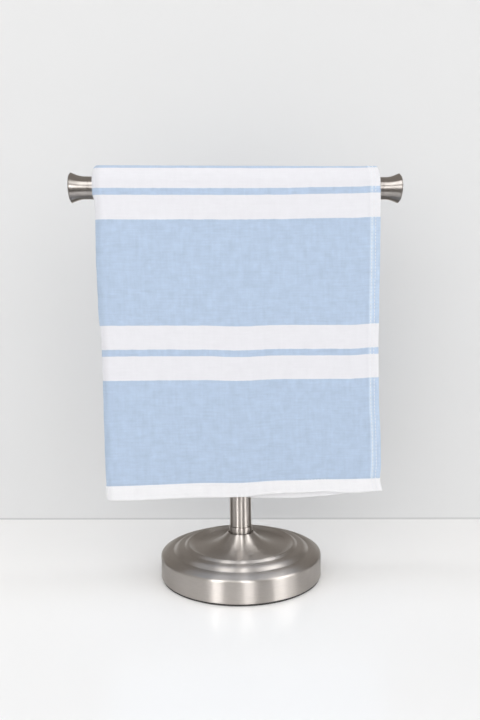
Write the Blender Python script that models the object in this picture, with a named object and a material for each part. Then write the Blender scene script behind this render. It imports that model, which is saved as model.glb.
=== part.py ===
"""Hammam hand towel draped over a countertop towel stand.

The stand is a weighted round foot with a trumpet-shaped centre, a short collar, a straight
post and a crossbar with a flared finial at each end.  The towel is one cotton sheet, folded
once along its length and hung over the bar, so that two layers hang in front and two behind.

Units are metres, +Z is up.  The origin is on the table, under the middle of the foot.  The
crossbar runs along X, and the towel's longer-seen side faces -Y.
"""

import math

import bmesh
import bpy
from mathutils import Vector

MM = 0.001

# Clearance kept between pieces that touch on the real object.
SEAT_GAP = 0.3 * MM

# ---------------------------------------------------------------- stand, driving sizes
FOOT_RADIUS = 70.0 * MM
PAD_INSET = 0.9 * MM
PAD_THICKNESS = 1.2 * MM
FOOT_LOWER_EDGE = 0.5 * MM
WALL_TOP = 18.8 * MM
RIM_ROUNDING = 1.8 * MM

# Turned mouldings inside the rim, in millimetres: radius, height, how far the stretch up to
# the point bows outwards, and the steps of that stretch.
TURN_RADIUS, TURN_HEIGHT, TURN_BOW, TURN_COUNT = 0, 1, 2, 3
MOULDINGS = (
    (59.2, 22.7, 0.3, 4),
    (56.6, 24.8, 0.0, 1),
    (53.6, 25.9, 0.25, 3),
    (49.5, 26.2, 0.0, 1),
    (47.2, 27.9, 0.1, 2),
    (45.6, 27.9, 0.15, 2),
    (40.5, 25.6, -0.3, 3),
)
TRUMPET_RADIUS = 11.4 * MM
TRUMPET_HEIGHT = 36.9 * MM
TRUMPET_POWER = 3.0
TRUMPET_STEPS = 10

MOUTH_LIP = 0.4 * MM
MOUTH_DEPTH = 1.6 * MM

COLLAR_RADIUS = 10.2 * MM
COLLAR_TOP = 42.5 * MM
COLLAR_ROUNDING = 0.4 * MM
COLLAR_GROOVE_RADIUS = 9.0 * MM
COLLAR_GROOVE = 0.5 * MM

TUBE_RADIUS = 9.5 * MM
BAR_HEIGHT = 336.5 * MM
FINIAL_RIM_X = 141.6 * MM
FINIAL_LENGTH = 16.0 * MM
FINIAL_RIM_RADIUS = 12.6 * MM
FINIAL_RIM_BEVEL = 1.1 * MM
FINIAL_DOME = 1.2 * MM
FINIAL_DOME_RINGS = (1.0, 0.75, 0.4, 0.0)
FLARE_LENGTH = 10.5 * MM
FLARE_POWER = 1.6
FLARE_STEPS = 7
TUBE_CHAMFER = 0.3 * MM

# Rings of the post's coped top, as shares of the tube's radius.
SADDLE_RINGS = (1.0, 0.95, 0.88, 0.78, 0.62, 0.4, 0.2, 0.0)

ROUND_SIDES = 64
TUBE_SIDES = 40

# ---------------------------------------------------------------- towel, driving sizes
CLOTH = 2.4 * MM
HEM_EXTRA = 0.6 * MM
HEM_DEPTH = 13.0 * MM
SIDE_HEM_WIDTH = 8.0 * MM
POST_CLEARANCE = 2.1 * MM
LAYER_GAP = 0.9 * MM

# Distance of each layer's middle from the bar's axis, over the bar and on the drops.
CREST_INNER = TUBE_RADIUS + SEAT_GAP + (CLOTH + HEM_EXTRA) / 2
CREST_OUTER = 17.5 * MM
DROP_INNER = TUBE_RADIUS + POST_CLEARANCE + (CLOTH + HEM_EXTRA) / 2
DROP_OUTER = DROP_INNER + CLOTH + HEM_EXTRA + LAYER_GAP
SETTLE_LENGTH = 34.0 * MM

# Outline of each drop: distance below the bar's axis, folded edge (left), open edge (right).
DEPTH, LEFT, RIGHT = 0, 1, 2
FRONT_OUTLINE = (
    (0.0, -121.4, 120.2),
    (11.0, -119.4, 120.4),
    (24.0, -118.6, 120.4),
    (60.0, -118.6, 120.0),
    (100.0, -117.8, 119.2),
    (140.0, -115.9, 118.4),
    (180.0, -115.4, 118.8),
    (220.0, -115.2, 119.8),
    (265.0, -113.9, 120.0),
)
BACK_OUTLINE = (
    (0.0, -121.4, 120.2),
    (40.0, -119.8, 119.8),
    (90.0, -118.8, 118.6),
    (145.0, -118.2, 117.8),
    (200.0, -117.0, 118.6),
)

# Lower edge of each layer: place across the towel, height above the table.  The back drop is
# the shorter one, and its inner layer, which takes the shorter way over the bar, hangs lower.
ACROSS, HEIGHT = 0, 1
FRONT_OUTER_HEM = (
    (-118.0, 72.1),
    (-78.0, 72.0),
    (-35.0, 72.5),
    (0.0, 72.2),
    (34.0, 74.6),
    (68.0, 75.1),
    (96.0, 73.3),
    (121.0, 75.0),
)
FRONT_INNER_HEM = (
    (-118.0, 72.9),
    (-60.0, 73.5),
    (-10.0, 72.1),
    (20.0, 69.9),
    (44.0, 69.7),
    (70.0, 70.5),
    (96.0, 72.5),
    (121.0, 75.5),
)
BACK_OUTER_HEM = (
    (-118.0, 145.1),
    (-50.0, 144.3),
    (10.0, 144.5),
    (60.0, 142.1),
    (121.0, 141.7),
)
BACK_INNER_HEM = (
    (-118.0, 144.3),
    (-40.0, 141.6),
    (30.0, 139.0),
    (121.0, 136.8),
)

# Soft folds of a drop: place at the bar, place at the hem, half width, depth at the hem.
FOLD_TOP, FOLD_FOOT, FOLD_WIDTH, FOLD_DEPTH = 0, 1, 2, 3
FOLD_GROWTH = 1.3
FRONT_FOLDS = (
    (-86.0, -96.0, 26.0, 1.5),
    (-30.0, -20.0, 30.0, 0.7),
    (44.0, 52.0, 26.0, 2.0),
    (120.0, 119.0, 16.0, 1.6),
)
BACK_FOLDS = (
    (-70.0, -82.0, 30.0, 2.4),
    (20.0, 34.0, 24.0, 1.6),
    (100.0, 96.0, 26.0, 2.2),
)

# Steps of the sheet's grid.  A hem's step up lies between its line and this many hem widths.
HEM_STEP_OFF = 1.15
HEM_ROWS = 3
LAYER_STEPS = 12
TURN_STEPS = 6
SETTLE_STEPS = 3
DROP_STEPS = 6
CREST_STEPS = 12


# ---------------------------------------------------------------- helpers
def clear_scene():
    """Remove every object of the scene."""
    for item in list(bpy.data.objects):
        bpy.data.objects.remove(item, do_unlink=True)


def make_material(name, colour, roughness, metallic):
    """Return a Principled material with a plain finish."""
    material = bpy.data.materials.new(name)
    material.use_nodes = True
    shader = material.node_tree.nodes["Principled BSDF"]
    shader.inputs["Base Color"].default_value = (*colour, 1.0)
    shader.inputs["Roughness"].default_value = roughness
    shader.inputs["Metallic"].default_value = metallic
    return material


def add_object(name, bm, material, sharp_angle=40.0):
    """Turn a bmesh into a named, smooth-shaded object and return it."""
    bmesh.ops.recalc_face_normals(bm, faces=bm.faces)
    mesh = bpy.data.meshes.new(name)
    bm.to_mesh(mesh)
    bm.free()
    mesh.shade_smooth()
    mesh.set_sharp_from_angle(angle=math.radians(sharp_angle))
    mesh.materials.append(material)
    item = bpy.data.objects.new(name, mesh)
    bpy.context.collection.objects.link(item)
    return item


def smoothstep(value):
    """Ease from 0 to 1 as value goes from 0 to 1."""
    value = min(max(value, 0.0), 1.0)
    return value * value * (3.0 - 2.0 * value)


def read_table(rows, key, column, key_column=0):
    """Read a smooth value between the rows of a table whose numbers are millimetres."""
    keys = [row[key_column] * MM for row in rows]
    values = [row[column] * MM for row in rows]
    if key <= keys[0]:
        return values[0]
    for low in range(len(keys) - 1):
        if key <= keys[low + 1]:
            share = (key - keys[low]) / (keys[low + 1] - keys[low])
            return values[low] + (values[low + 1] - values[low]) * smoothstep(share)
    return values[-1]


def turned_solid(profile, sides):
    """Turn a (radius, height) profile, whose ends lie on the Z axis, into a closed solid."""
    bm = bmesh.new()
    rings = []
    for radius, height in profile:
        if radius < 1e-7:
            rings.append([bm.verts.new((0.0, 0.0, height))])
            continue
        ring = []
        for side in range(sides):
            angle = math.tau * side / sides
            ring.append(bm.verts.new((radius * math.cos(angle), radius * math.sin(angle), height)))
        rings.append(ring)
    for lower, upper in zip(rings, rings[1:]):
        for side in range(sides):
            after = (side + 1) % sides
            corners = [lower[side % len(lower)], lower[after % len(lower)]]
            corners += [upper[after % len(upper)], upper[side % len(upper)]]
            bm.faces.new(list(dict.fromkeys(corners)))
    return bm


def arc(centre, radius, start, end, steps):
    """Return points of an arc in the (radius, height) plane, angles in degrees."""
    points = []
    for step in range(steps + 1):
        angle = math.radians(start + (end - start) * step / steps)
        points.append((centre[0] + radius * math.cos(angle), centre[1] + radius * math.sin(angle)))
    return points


def bowed(start, end, steps, bow):
    """Return the points after start up to end, with the stretch between them bowed."""
    points = []
    for step in range(1, steps + 1):
        share = step / steps
        lift = bow * math.sin(math.pi * share)
        points.append((start[0] + (end[0] - start[0]) * share,
                       start[1] + (end[1] - start[1]) * share + lift))
    return points


# ---------------------------------------------------------------- stand
def foot_profile():
    """Profile of the foot, from the middle of its underside to the middle of its seat."""
    under = PAD_THICKNESS + SEAT_GAP
    points = [(0.0, under), (FOOT_RADIUS - FOOT_LOWER_EDGE, under), (FOOT_RADIUS, under + FOOT_LOWER_EDGE)]
    points += arc((FOOT_RADIUS - RIM_ROUNDING, WALL_TOP), RIM_ROUNDING, 0.0, 90.0, 5)
    for row in MOULDINGS:
        point = (row[TURN_RADIUS] * MM, row[TURN_HEIGHT] * MM)
        points += bowed(points[-1], point, row[TURN_COUNT], row[TURN_BOW] * MM)
    bowl_radius, bowl_height = points[-1]
    for step in range(1, TRUMPET_STEPS + 1):
        share = step / TRUMPET_STEPS
        rise = (TRUMPET_HEIGHT - bowl_height) * share ** TRUMPET_POWER
        points.append((bowl_radius + (TRUMPET_RADIUS - bowl_radius) * share, bowl_height + rise))
    mouth = TRUMPET_RADIUS - MOUTH_LIP
    floor = TRUMPET_HEIGHT - MOUTH_DEPTH
    points += [(mouth, TRUMPET_HEIGHT), (mouth, floor), (0.0, floor)]
    return points


def collar_profile(bottom):
    """Profile of the collar: a rounded band, and the narrow groove under the post."""
    side = COLLAR_RADIUS - COLLAR_ROUNDING
    points = [(0.0, bottom), (COLLAR_RADIUS, bottom)]
    points += arc((side, COLLAR_TOP - COLLAR_ROUNDING), COLLAR_ROUNDING, 0.0, 90.0, 3)
    points += [(COLLAR_GROOVE_RADIUS, COLLAR_TOP), (COLLAR_GROOVE_RADIUS, COLLAR_TOP + COLLAR_GROOVE)]
    points += [(0.0, COLLAR_TOP + COLLAR_GROOVE)]
    return points


def saddle_height(y):
    """Height of the post's coped top, which follows the underside of the crossbar."""
    clear_radius = TUBE_RADIUS + SEAT_GAP
    return BAR_HEIGHT - math.sqrt(clear_radius ** 2 - y ** 2)


def post_solid(bottom):
    """Return the post as a bmesh, flat at its foot and coped to the bar at its top."""
    profile = [(0.0, bottom), (TUBE_RADIUS - TUBE_CHAMFER, bottom), (TUBE_RADIUS, bottom + TUBE_CHAMFER)]
    profile += [(TUBE_RADIUS * share, BAR_HEIGHT) for share in SADDLE_RINGS]
    bm = turned_solid(profile, TUBE_SIDES)
    for vert in bm.verts:
        if vert.co.z > BAR_HEIGHT - TUBE_CHAMFER:
            vert.co.z = saddle_height(vert.co.y)
    return bm


def finial_profile():
    """Profile of a finial along its axis: seat, waist, flare, bevelled rim and domed end."""
    rim = FINIAL_LENGTH - FINIAL_RIM_BEVEL
    flare_start = rim - FLARE_LENGTH
    points = [(0.0, 0.0), (TUBE_RADIUS - TUBE_CHAMFER, 0.0), (TUBE_RADIUS, TUBE_CHAMFER)]
    for step in range(FLARE_STEPS + 1):
        share = step / FLARE_STEPS
        flare = (FINIAL_RIM_RADIUS - TUBE_RADIUS) * share ** FLARE_POWER
        points.append((TUBE_RADIUS + flare, flare_start + FLARE_LENGTH * share))
    dome_radius = FINIAL_RIM_RADIUS - FINIAL_RIM_BEVEL
    for share in FINIAL_DOME_RINGS:
        points.append((dome_radius * share, FINIAL_LENGTH + FINIAL_DOME * (1.0 - share ** 2)))
    return points


def build_stand():
    """Build the foot, its pad, the collar, the post, the crossbar and the two finials."""
    nickel = make_material("brushed_nickel", (0.52, 0.48, 0.44), 0.3, 1.0)
    rubber = make_material("pad_rubber", (0.03, 0.03, 0.03), 0.8, 0.0)

    pad_radius = FOOT_RADIUS - PAD_INSET
    pad = turned_solid([(0.0, 0.0), (pad_radius, 0.0), (pad_radius, PAD_THICKNESS),
                        (0.0, PAD_THICKNESS)], ROUND_SIDES)
    add_object("base_pad", pad, rubber)
    add_object("base", turned_solid(foot_profile(), ROUND_SIDES), nickel)

    collar_bottom = TRUMPET_HEIGHT - MOUTH_DEPTH + SEAT_GAP
    add_object("post_collar", turned_solid(collar_profile(collar_bottom), TUBE_SIDES), nickel)
    add_object("post", post_solid(COLLAR_TOP + COLLAR_GROOVE + SEAT_GAP), nickel)

    finial_start = FINIAL_RIM_X - FINIAL_LENGTH
    bar_end = finial_start - SEAT_GAP
    bar = turned_solid([(0.0, -bar_end), (TUBE_RADIUS, -bar_end), (TUBE_RADIUS, bar_end),
                        (0.0, bar_end)], TUBE_SIDES)
    bar_object = add_object("crossbar", bar, nickel)
    bar_object.location = (0.0, 0.0, BAR_HEIGHT)
    bar_object.rotation_euler = (0.0, math.radians(90.0), 0.0)
    for name, side in (("finial_left", -1.0), ("finial_right", 1.0)):
        finial = add_object(name, turned_solid(finial_profile(), TUBE_SIDES), nickel)
        finial.location = (side * finial_start, 0.0, BAR_HEIGHT)
        finial.rotation_euler = (0.0, math.radians(90.0) * side, 0.0)


# ---------------------------------------------------------------- towel
class Drop:
    """One hanging side of the towel: which way it faces, its outline, hems and folds."""

    def __init__(self, facing, outline, outer_hem, inner_hem, folds):
        self.facing = facing
        self.outline = outline
        self.hems = {"outer": outer_hem, "inner": inner_hem}
        self.folds = folds

    def longest(self):
        """Return the drop's nominal length below the bar's axis."""
        return self.outline[-1][DEPTH] * MM

    def edges(self, depth):
        """Return the folded and the open edge at a depth below the bar's axis."""
        return read_table(self.outline, depth, LEFT), read_table(self.outline, depth, RIGHT)

    def swell(self, x, depth):
        """Return how far the soft folds push the cloth outwards, growing towards the hem."""
        share = min(max(depth / self.longest(), 0.0), 1.0)
        push = 0.0
        for fold in self.folds:
            centre = (fold[FOLD_TOP] + (fold[FOLD_FOOT] - fold[FOLD_TOP]) * share) * MM
            reach = (x - centre) / (fold[FOLD_WIDTH] * MM)
            push += fold[FOLD_DEPTH] * MM * share ** FOLD_GROWTH * math.exp(-reach * reach)
        return push


FRONT = Drop(-1.0, FRONT_OUTLINE, FRONT_OUTER_HEM, FRONT_INNER_HEM, FRONT_FOLDS)
BACK = Drop(1.0, BACK_OUTLINE, BACK_OUTER_HEM, BACK_INNER_HEM, BACK_FOLDS)


def layer_reach(depth):
    """Return the inner and outer layers' distance from the bar's axis at a depth."""
    settle = smoothstep(depth / SETTLE_LENGTH)
    inner = CREST_INNER + (DROP_INNER - CREST_INNER) * settle
    outer = CREST_OUTER + (DROP_OUTER - CREST_OUTER) * settle
    return inner, outer


def across_places():
    """Return (layer, share) places across the folded sheet, from one open edge to the other."""
    side_hem = SIDE_HEM_WIDTH / (FRONT_OUTLINE[0][RIGHT] * MM - FRONT_OUTLINE[0][LEFT] * MM)
    plain_start = 1.0 - side_hem * HEM_STEP_OFF
    plain = [plain_start * (1.0 - step / LAYER_STEPS) for step in range(LAYER_STEPS + 1)]
    shares = [1.0, 1.0 - side_hem] + plain
    outer = [("outer", share) for share in shares]
    turn = [("turn", step / TURN_STEPS) for step in range(1, TURN_STEPS)]
    inner = [("inner", share) for share in reversed(shares)]
    return outer + turn + inner


def cross_point(drop, place, depth):
    """Return (x, reach) of a place across the sheet, at a depth below the bar's axis."""
    left, right = drop.edges(depth)
    inner, outer = layer_reach(depth)
    layer, share = place
    turn_radius = (outer - inner) / 2.0
    left += turn_radius + CLOTH / 2.0
    if layer == "turn":
        angle = math.pi * share
        x = left - turn_radius * math.sin(angle)
        reach = (inner + outer) / 2.0 + turn_radius * math.cos(angle)
    else:
        x = left + (right - left) * share
        reach = outer if layer == "outer" else inner
    return x, reach + drop.swell(x, max(depth, 0.0))


def hem_height(drop, place, x):
    """Return the height of the lower edge at a place across the sheet."""
    layer, share = place
    if layer != "turn":
        return read_table(drop.hems[layer], x, HEIGHT, ACROSS)
    outer = read_table(drop.hems["outer"], x, HEIGHT, ACROSS)
    inner = read_table(drop.hems["inner"], x, HEIGHT, ACROSS)
    return outer + (inner - outer) * share


def drop_shares(drop):
    """Return places down a drop, from just under the bar's axis to the lower edge (1)."""
    hem = HEM_DEPTH / drop.longest()
    settle = SETTLE_LENGTH / drop.longest()
    near_bar = [settle * step / SETTLE_STEPS for step in range(1, SETTLE_STEPS + 1)]
    hem_line = 1.0 - hem * HEM_STEP_OFF
    middle = [settle + (hem_line - settle) * step / DROP_STEPS for step in range(1, DROP_STEPS + 1)]
    return near_bar + middle + [1.0 - hem, 1.0 - hem / 2.0, 1.0]


def drop_point(drop, place, share):
    """Return the middle of the cloth at a place across and a share of the way down."""
    x, _ = cross_point(drop, place, drop.longest() * share)
    length = BAR_HEIGHT - hem_height(drop, place, x)
    depth = length * share
    x, reach = cross_point(drop, place, depth)
    return Vector((x, drop.facing * reach, BAR_HEIGHT - depth))


def crest_point(place, angle):
    """Return the middle of the cloth over the bar, angle 0 in front and pi behind."""
    x, reach = cross_point(FRONT, place, 0.0)
    return Vector((x, -reach * math.cos(angle), BAR_HEIGHT + reach * math.sin(angle)))


def drop_rows(drop, places):
    """Return a drop's rows of points from the bar down, each with whether it is in the hem."""
    down = drop_shares(drop)
    hem = down[-HEM_ROWS:]
    return [([drop_point(drop, place, share) for place in places], share in hem) for share in down]


def towel_rows():
    """Return the sheet's middle surface as rows of points, from the front hem to the back one."""
    places = across_places()
    crest = []
    for step in range(CREST_STEPS + 1):
        angle = math.pi * step / CREST_STEPS
        crest.append(([crest_point(place, angle) for place in places], False))
    front = list(reversed(drop_rows(FRONT, places)))
    return front + crest + drop_rows(BACK, places)


def sheet_normal(rows, row, column):
    """Return the unit normal of the middle surface, on the side away from the fold's inside."""
    above = rows[min(row + 1, len(rows) - 1)][0][column]
    below = rows[max(row - 1, 0)][0][column]
    line = rows[row][0]
    after = line[min(column + 1, len(line) - 1)]
    before = line[max(column - 1, 0)]
    return (above - below).cross(after - before).normalized()


def build_towel():
    """Build the folded, draped towel as one closed sheet with thicker hems."""
    cotton = make_material("towel_cotton", (0.50, 0.61, 0.78), 0.9, 0.0)
    rows = towel_rows()
    columns = len(rows[0][0])
    bm = bmesh.new()
    outside = []
    inside = []
    for row, (line, in_hem) in enumerate(rows):
        outside_line = []
        inside_line = []
        for column, middle in enumerate(line):
            at_side = min(column, columns - 1 - column) <= 1
            thickness = CLOTH + (HEM_EXTRA if in_hem or at_side else 0.0)
            offset = sheet_normal(rows, row, column) * (thickness / 2.0)
            outside_line.append(bm.verts.new(middle + offset))
            inside_line.append(bm.verts.new(middle - offset))
        outside.append(outside_line)
        inside.append(inside_line)
    for row in range(len(rows) - 1):
        for column in range(columns - 1):
            for side in (outside, inside):
                bm.faces.new((side[row][column], side[row][column + 1],
                              side[row + 1][column + 1], side[row + 1][column]))
        for column in (0, columns - 1):
            bm.faces.new((outside[row][column], outside[row + 1][column],
                          inside[row + 1][column], inside[row][column]))
    for row in (0, len(rows) - 1):
        for column in range(columns - 1):
            bm.faces.new((outside[row][column], outside[row][column + 1],
                          inside[row][column + 1], inside[row][column]))
    add_object("towel", bm, cotton, sharp_angle=60.0)


def main():
    """Build the whole part."""
    clear_scene()
    build_stand()
    build_towel()


main()
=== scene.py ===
"""Finishes and cloth of a hammam towel draped over a countertop towel stand.

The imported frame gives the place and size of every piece.  This script adds the draped cloth
with its stripes, weave, hems and stitching, finely turned brushed metal over the frame's
turned parts, and a plain studio.  Units are metres, +Z is up, the crossbar runs along X and
the longer-seen side of the towel faces -Y.
"""

import logging
import math
from dataclasses import dataclass
from enum import Enum
from typing import Any, Iterable, Sequence

import bmesh
import bpy
import numpy as np
from mathutils import Matrix, Vector


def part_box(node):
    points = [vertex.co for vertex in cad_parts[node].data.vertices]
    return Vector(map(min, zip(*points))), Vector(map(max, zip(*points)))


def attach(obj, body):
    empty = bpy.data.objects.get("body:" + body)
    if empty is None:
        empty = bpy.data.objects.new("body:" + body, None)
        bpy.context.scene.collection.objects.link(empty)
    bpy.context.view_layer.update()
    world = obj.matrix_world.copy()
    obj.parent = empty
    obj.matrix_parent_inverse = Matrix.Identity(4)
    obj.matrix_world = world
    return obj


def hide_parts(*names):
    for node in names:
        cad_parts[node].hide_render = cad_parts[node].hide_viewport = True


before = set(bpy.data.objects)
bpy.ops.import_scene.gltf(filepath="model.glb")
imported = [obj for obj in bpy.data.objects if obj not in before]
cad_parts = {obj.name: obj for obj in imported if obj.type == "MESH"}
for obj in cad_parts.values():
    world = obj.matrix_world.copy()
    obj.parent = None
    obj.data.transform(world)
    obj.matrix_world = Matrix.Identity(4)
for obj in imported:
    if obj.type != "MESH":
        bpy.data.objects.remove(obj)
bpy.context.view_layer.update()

LOG = logging.getLogger("towel_stand")
BODY = "root"
MM = 0.001
MICRON = 0.000001
IMAGE_WIDTH = 480
IMAGE_HEIGHT = 720

Colour = tuple[float, float, float]
Triple = tuple[float, float, float]
Point = tuple[float, float]
Table = Sequence[Sequence[float]]

AXIS_LIMIT = 1e-7  # a smaller radius is a point on the axis


# ---------------------------------------------------------------------------- small helpers
def smoothstep(value: np.ndarray | float) -> np.ndarray:
    """Ease from 0 to 1 as the value goes from 0 to 1.

    Args:
        value: One number or an array.

    Returns:
        The eased share, 0 below 0 and 1 above 1.
    """
    share = np.clip(value, 0.0, 1.0)
    return share * share * (3.0 - 2.0 * share)


def read_table(rows: Table, keys: np.ndarray, column: int) -> np.ndarray:
    """Read smooth values between the rows of a table whose numbers are millimetres.

    Args:
        rows: The table, its first column growing from row to row.
        keys: Places along the first column, in metres.
        column: The column to read.

    Returns:
        The values in metres, one for each key.
    """
    table = np.array(rows, float) * MM
    low = np.clip(np.searchsorted(table[:, 0], keys, side="right") - 1, 0, len(table) - 2)
    start = table[low]
    end = table[low + 1]
    share = smoothstep((keys - start[..., 0]) / (end[..., 0] - start[..., 0]))
    return start[..., column] + (end[..., column] - start[..., column]) * share


def arc(centre: Point, radius: float, start: float, end: float, steps: int) -> list[Point]:
    """Return points of an arc in the (radius, height) plane.

    Args:
        centre: The arc's centre.
        radius: Its radius.
        start: First angle in degrees.
        end: Last angle in degrees.
        steps: Number of steps between them.

    Returns:
        The points, ends included.
    """
    angles = np.radians(np.linspace(start, end, steps + 1))
    return [(centre[0] + radius * math.cos(a), centre[1] + radius * math.sin(a)) for a in angles]


def bowed(start: Point, end: Point, steps: int, bow: float) -> list[Point]:
    """Return the points after start up to end, with the stretch between them bowed.

    Args:
        start: The point that the stretch leaves.
        end: The point that it reaches.
        steps: Number of points.
        bow: How far its middle is lifted.

    Returns:
        The points, the end included.
    """
    made = []
    for share in np.linspace(0.0, 1.0, steps + 1)[1:]:
        lift = bow * math.sin(math.pi * share)
        made.append((start[0] + (end[0] - start[0]) * share,
                     start[1] + (end[1] - start[1]) * share + lift))
    return made


def eased_profile(points: list[Point], spacing: float, passes: int) -> list[Point]:
    """Space a profile's points evenly and round its corners a little.

    Args:
        points: The profile in the (radius, height) plane.
        spacing: Distance between the new points.
        passes: How often each point is drawn towards its neighbours.

    Returns:
        The new profile, with the same ends.
    """
    line = np.array(points)
    along = np.concatenate([[0.0], np.cumsum(np.linalg.norm(np.diff(line, axis=0), axis=1))])
    places = np.linspace(0.0, along[-1], max(2, round(along[-1] / spacing)) + 1)
    even = np.stack([np.interp(places, along, line[:, axis]) for axis in (0, 1)], axis=1)
    for _ in range(passes):
        even[1:-1] = (even[:-2] + 2.0 * even[1:-1] + even[2:]) / 4.0
    return [tuple(point) for point in even.tolist()]


def turned_mesh(name: str, profile: list[Point], sides: int, place: Matrix,
                sharp: float = 38.0) -> bpy.types.Mesh:
    """Turn a profile whose ends lie on the axis into a closed mesh.

    Args:
        name: The mesh's name.
        profile: Points (radius, height), from one end of the axis to the other.
        sides: Number of sides.
        place: Where the axis stands.
        sharp: Angle in degrees from which an edge is shaded sharp.

    Returns:
        The mesh, smooth shaded, with its faces outwards.
    """
    shell = bmesh.new()
    turns = [math.tau * side / sides for side in range(sides)]
    rings = []
    for radius, height in profile:
        around = turns if radius > AXIS_LIMIT else turns[:1]
        rings.append([shell.verts.new((radius * math.cos(turn), radius * math.sin(turn), height))
                      for turn in around])
    for lower, upper in zip(rings, rings[1:]):
        for side in range(sides):
            after = (side + 1) % sides
            corners = [lower[side % len(lower)], lower[after % len(lower)]]
            corners += [upper[after % len(upper)], upper[side % len(upper)]]
            shell.faces.new(list(dict.fromkeys(corners)))
    shell.transform(place)
    bmesh.ops.recalc_face_normals(shell, faces=shell.faces)
    mesh = bpy.data.meshes.new(name)
    shell.to_mesh(mesh)
    shell.free()
    mesh.shade_smooth()
    mesh.set_sharp_from_angle(angle=math.radians(sharp))
    return mesh


def new_piece(name: str, mesh: bpy.types.Mesh, material: bpy.types.Material) -> bpy.types.Object:
    """Link a mesh to the scene as a finished piece.

    Args:
        name: The piece's name.
        mesh: Its mesh, already in place.
        material: Its only material.

    Returns:
        The new object, at the origin.
    """
    mesh.materials.clear()
    mesh.materials.append(material)
    piece = bpy.data.objects.new(name, mesh)
    bpy.context.scene.collection.objects.link(piece)
    return piece


def bar_axis_height() -> float:
    """Return the height of the crossbar's axis in the frame."""
    low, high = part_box("crossbar")
    return (low.z + high.z) / 2


# ---------------------------------------------------------------------------- shader helpers
class Graph:
    """Adds nodes to one node tree and links them as they are made."""

    def __init__(self, tree: bpy.types.NodeTree) -> None:
        """Keep the tree that the nodes go into."""
        self.tree = tree

    def feed(self, socket: bpy.types.NodeSocket, value: Any) -> None:
        """Link a socket to another socket, or set its plain value.

        Args:
            socket: The input to feed.
            value: Another node's output, a value, or a colour without its opacity.
        """
        if isinstance(value, bpy.types.NodeSocket):
            self.tree.links.new(value, socket)
        elif socket.type == "RGBA" and len(value) == 3:
            socket.default_value = (*value, 1.0)
        else:
            socket.default_value = value

    def feed_all(self, sockets: Any, values: dict[Any, Any]) -> None:
        """Feed several inputs of one node, by name or number."""
        for key, value in values.items():
            self.feed(sockets[key], value)

    def node(self, kind: str, inputs: dict[Any, Any] | None = None, **settings: Any) -> bpy.types.Node:
        """Add a node.

        Args:
            kind: Blender's name of the node type.
            inputs: Values or outputs for its inputs, by name or number.
            settings: Its other settings.

        Returns:
            The node.
        """
        made = self.tree.nodes.new(kind)
        for name, value in settings.items():
            setattr(made, name, value)
        self.feed_all(made.inputs, inputs or {})
        return made

    def math(self, operation: str, *values: Any) -> bpy.types.NodeSocket:
        """Add a Math node and return its output."""
        return self.node("ShaderNodeMath", dict(enumerate(values)), operation=operation).outputs[0]

    def vector_math(self, operation: str, inputs: dict[Any, Any]) -> Any:
        """Add a Vector Math node and return its outputs."""
        return self.node("ShaderNodeVectorMath", inputs, operation=operation).outputs

    def vector(self, *parts: Any) -> bpy.types.NodeSocket:
        """Join up to three numbers into a vector."""
        return self.node("ShaderNodeCombineXYZ", dict(enumerate(parts))).outputs[0]

    def parts(self, vector: Any) -> Any:
        """Return the three numbers of a vector."""
        return self.node("ShaderNodeSeparateXYZ", {0: vector}).outputs

    def grey(self, value: Any) -> bpy.types.NodeSocket:
        """Return a grey as bright as the value."""
        return self.node("ShaderNodeCombineColor", {0: value, 1: value, 2: value}).outputs[0]

    def bump(self, height: Any, depth: float, strength: float = 1.0) -> bpy.types.NodeSocket:
        """Return the normal of a relief whose height goes from 0 to 1 over a depth in metres."""
        inputs = {"Strength": strength, "Distance": depth, "Height": height}
        return self.node("ShaderNodeBump", inputs).outputs[0]

    def ramp(self, value: Any, low: Any, high: Any, at_low: Any = 0.0,
             at_high: Any = 1.0) -> bpy.types.NodeSocket:
        """Ease from one value to another as the input crosses a range.

        Args:
            value: The input.
            low: Where the range starts.
            high: Where it ends.
            at_low: The result before it.
            at_high: The result after it.

        Returns:
            The result's output.
        """
        inputs = {0: value, 1: low, 2: high, 3: at_low, 4: at_high}
        return self.node("ShaderNodeMapRange", inputs, interpolation_type="SMOOTHSTEP").outputs[0]

    def step(self, value: Any, place: float, soft: float, before: float = 0.0,
             after: float = 1.0) -> bpy.types.NodeSocket:
        """Ease from one value to another over a soft edge on both sides of a place."""
        return self.ramp(value, place - soft, place + soft, before, after)

    def sweep(self, angle: Any, limits: Point, before: float = 0.0,
              after: float = 1.0) -> bpy.types.NodeSocket:
        """Ease from one value to another as an angle crosses a range given in degrees."""
        low, high = (math.radians(limit) for limit in limits)
        return self.ramp(angle, low, high, before, after)

    def mix(self, share: Any, first: Any, second: Any, blend: str = "MIX") -> bpy.types.NodeSocket:
        """Mix two colours.

        Args:
            share: How much of the second one.
            first: The first colour.
            second: The second colour.
            blend: The way they are mixed.

        Returns:
            The mixed colour's output.
        """
        inputs = {0: share, 6: first, 7: second}
        return self.node("ShaderNodeMix", inputs, data_type="RGBA", blend_type=blend).outputs[2]

    def noise(self, place: Any, scale: Any, detail: float = 2.0,
              roughness: float = 0.5) -> bpy.types.NodeSocket:
        """Add smooth noise and return its value, about 0 to 1.

        Args:
            place: The vector it is read at.
            scale: Waves in each unit of the vector.
            detail: Number of finer layers.
            roughness: Strength of the finer layers.

        Returns:
            The noise's value.
        """
        inputs = {"Vector": place, "Scale": scale, "Detail": detail, "Roughness": roughness}
        return self.node("ShaderNodeTexNoise", inputs).outputs[0]


def new_material(name: str) -> tuple[bpy.types.Material, Graph, Any]:
    """Start a material.

    Args:
        name: The material's name.

    Returns:
        The material, its graph and the inputs of its shader.
    """
    made = bpy.data.materials.new(name)
    made.use_nodes = True
    return made, Graph(made.node_tree), made.node_tree.nodes["Principled BSDF"].inputs


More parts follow.
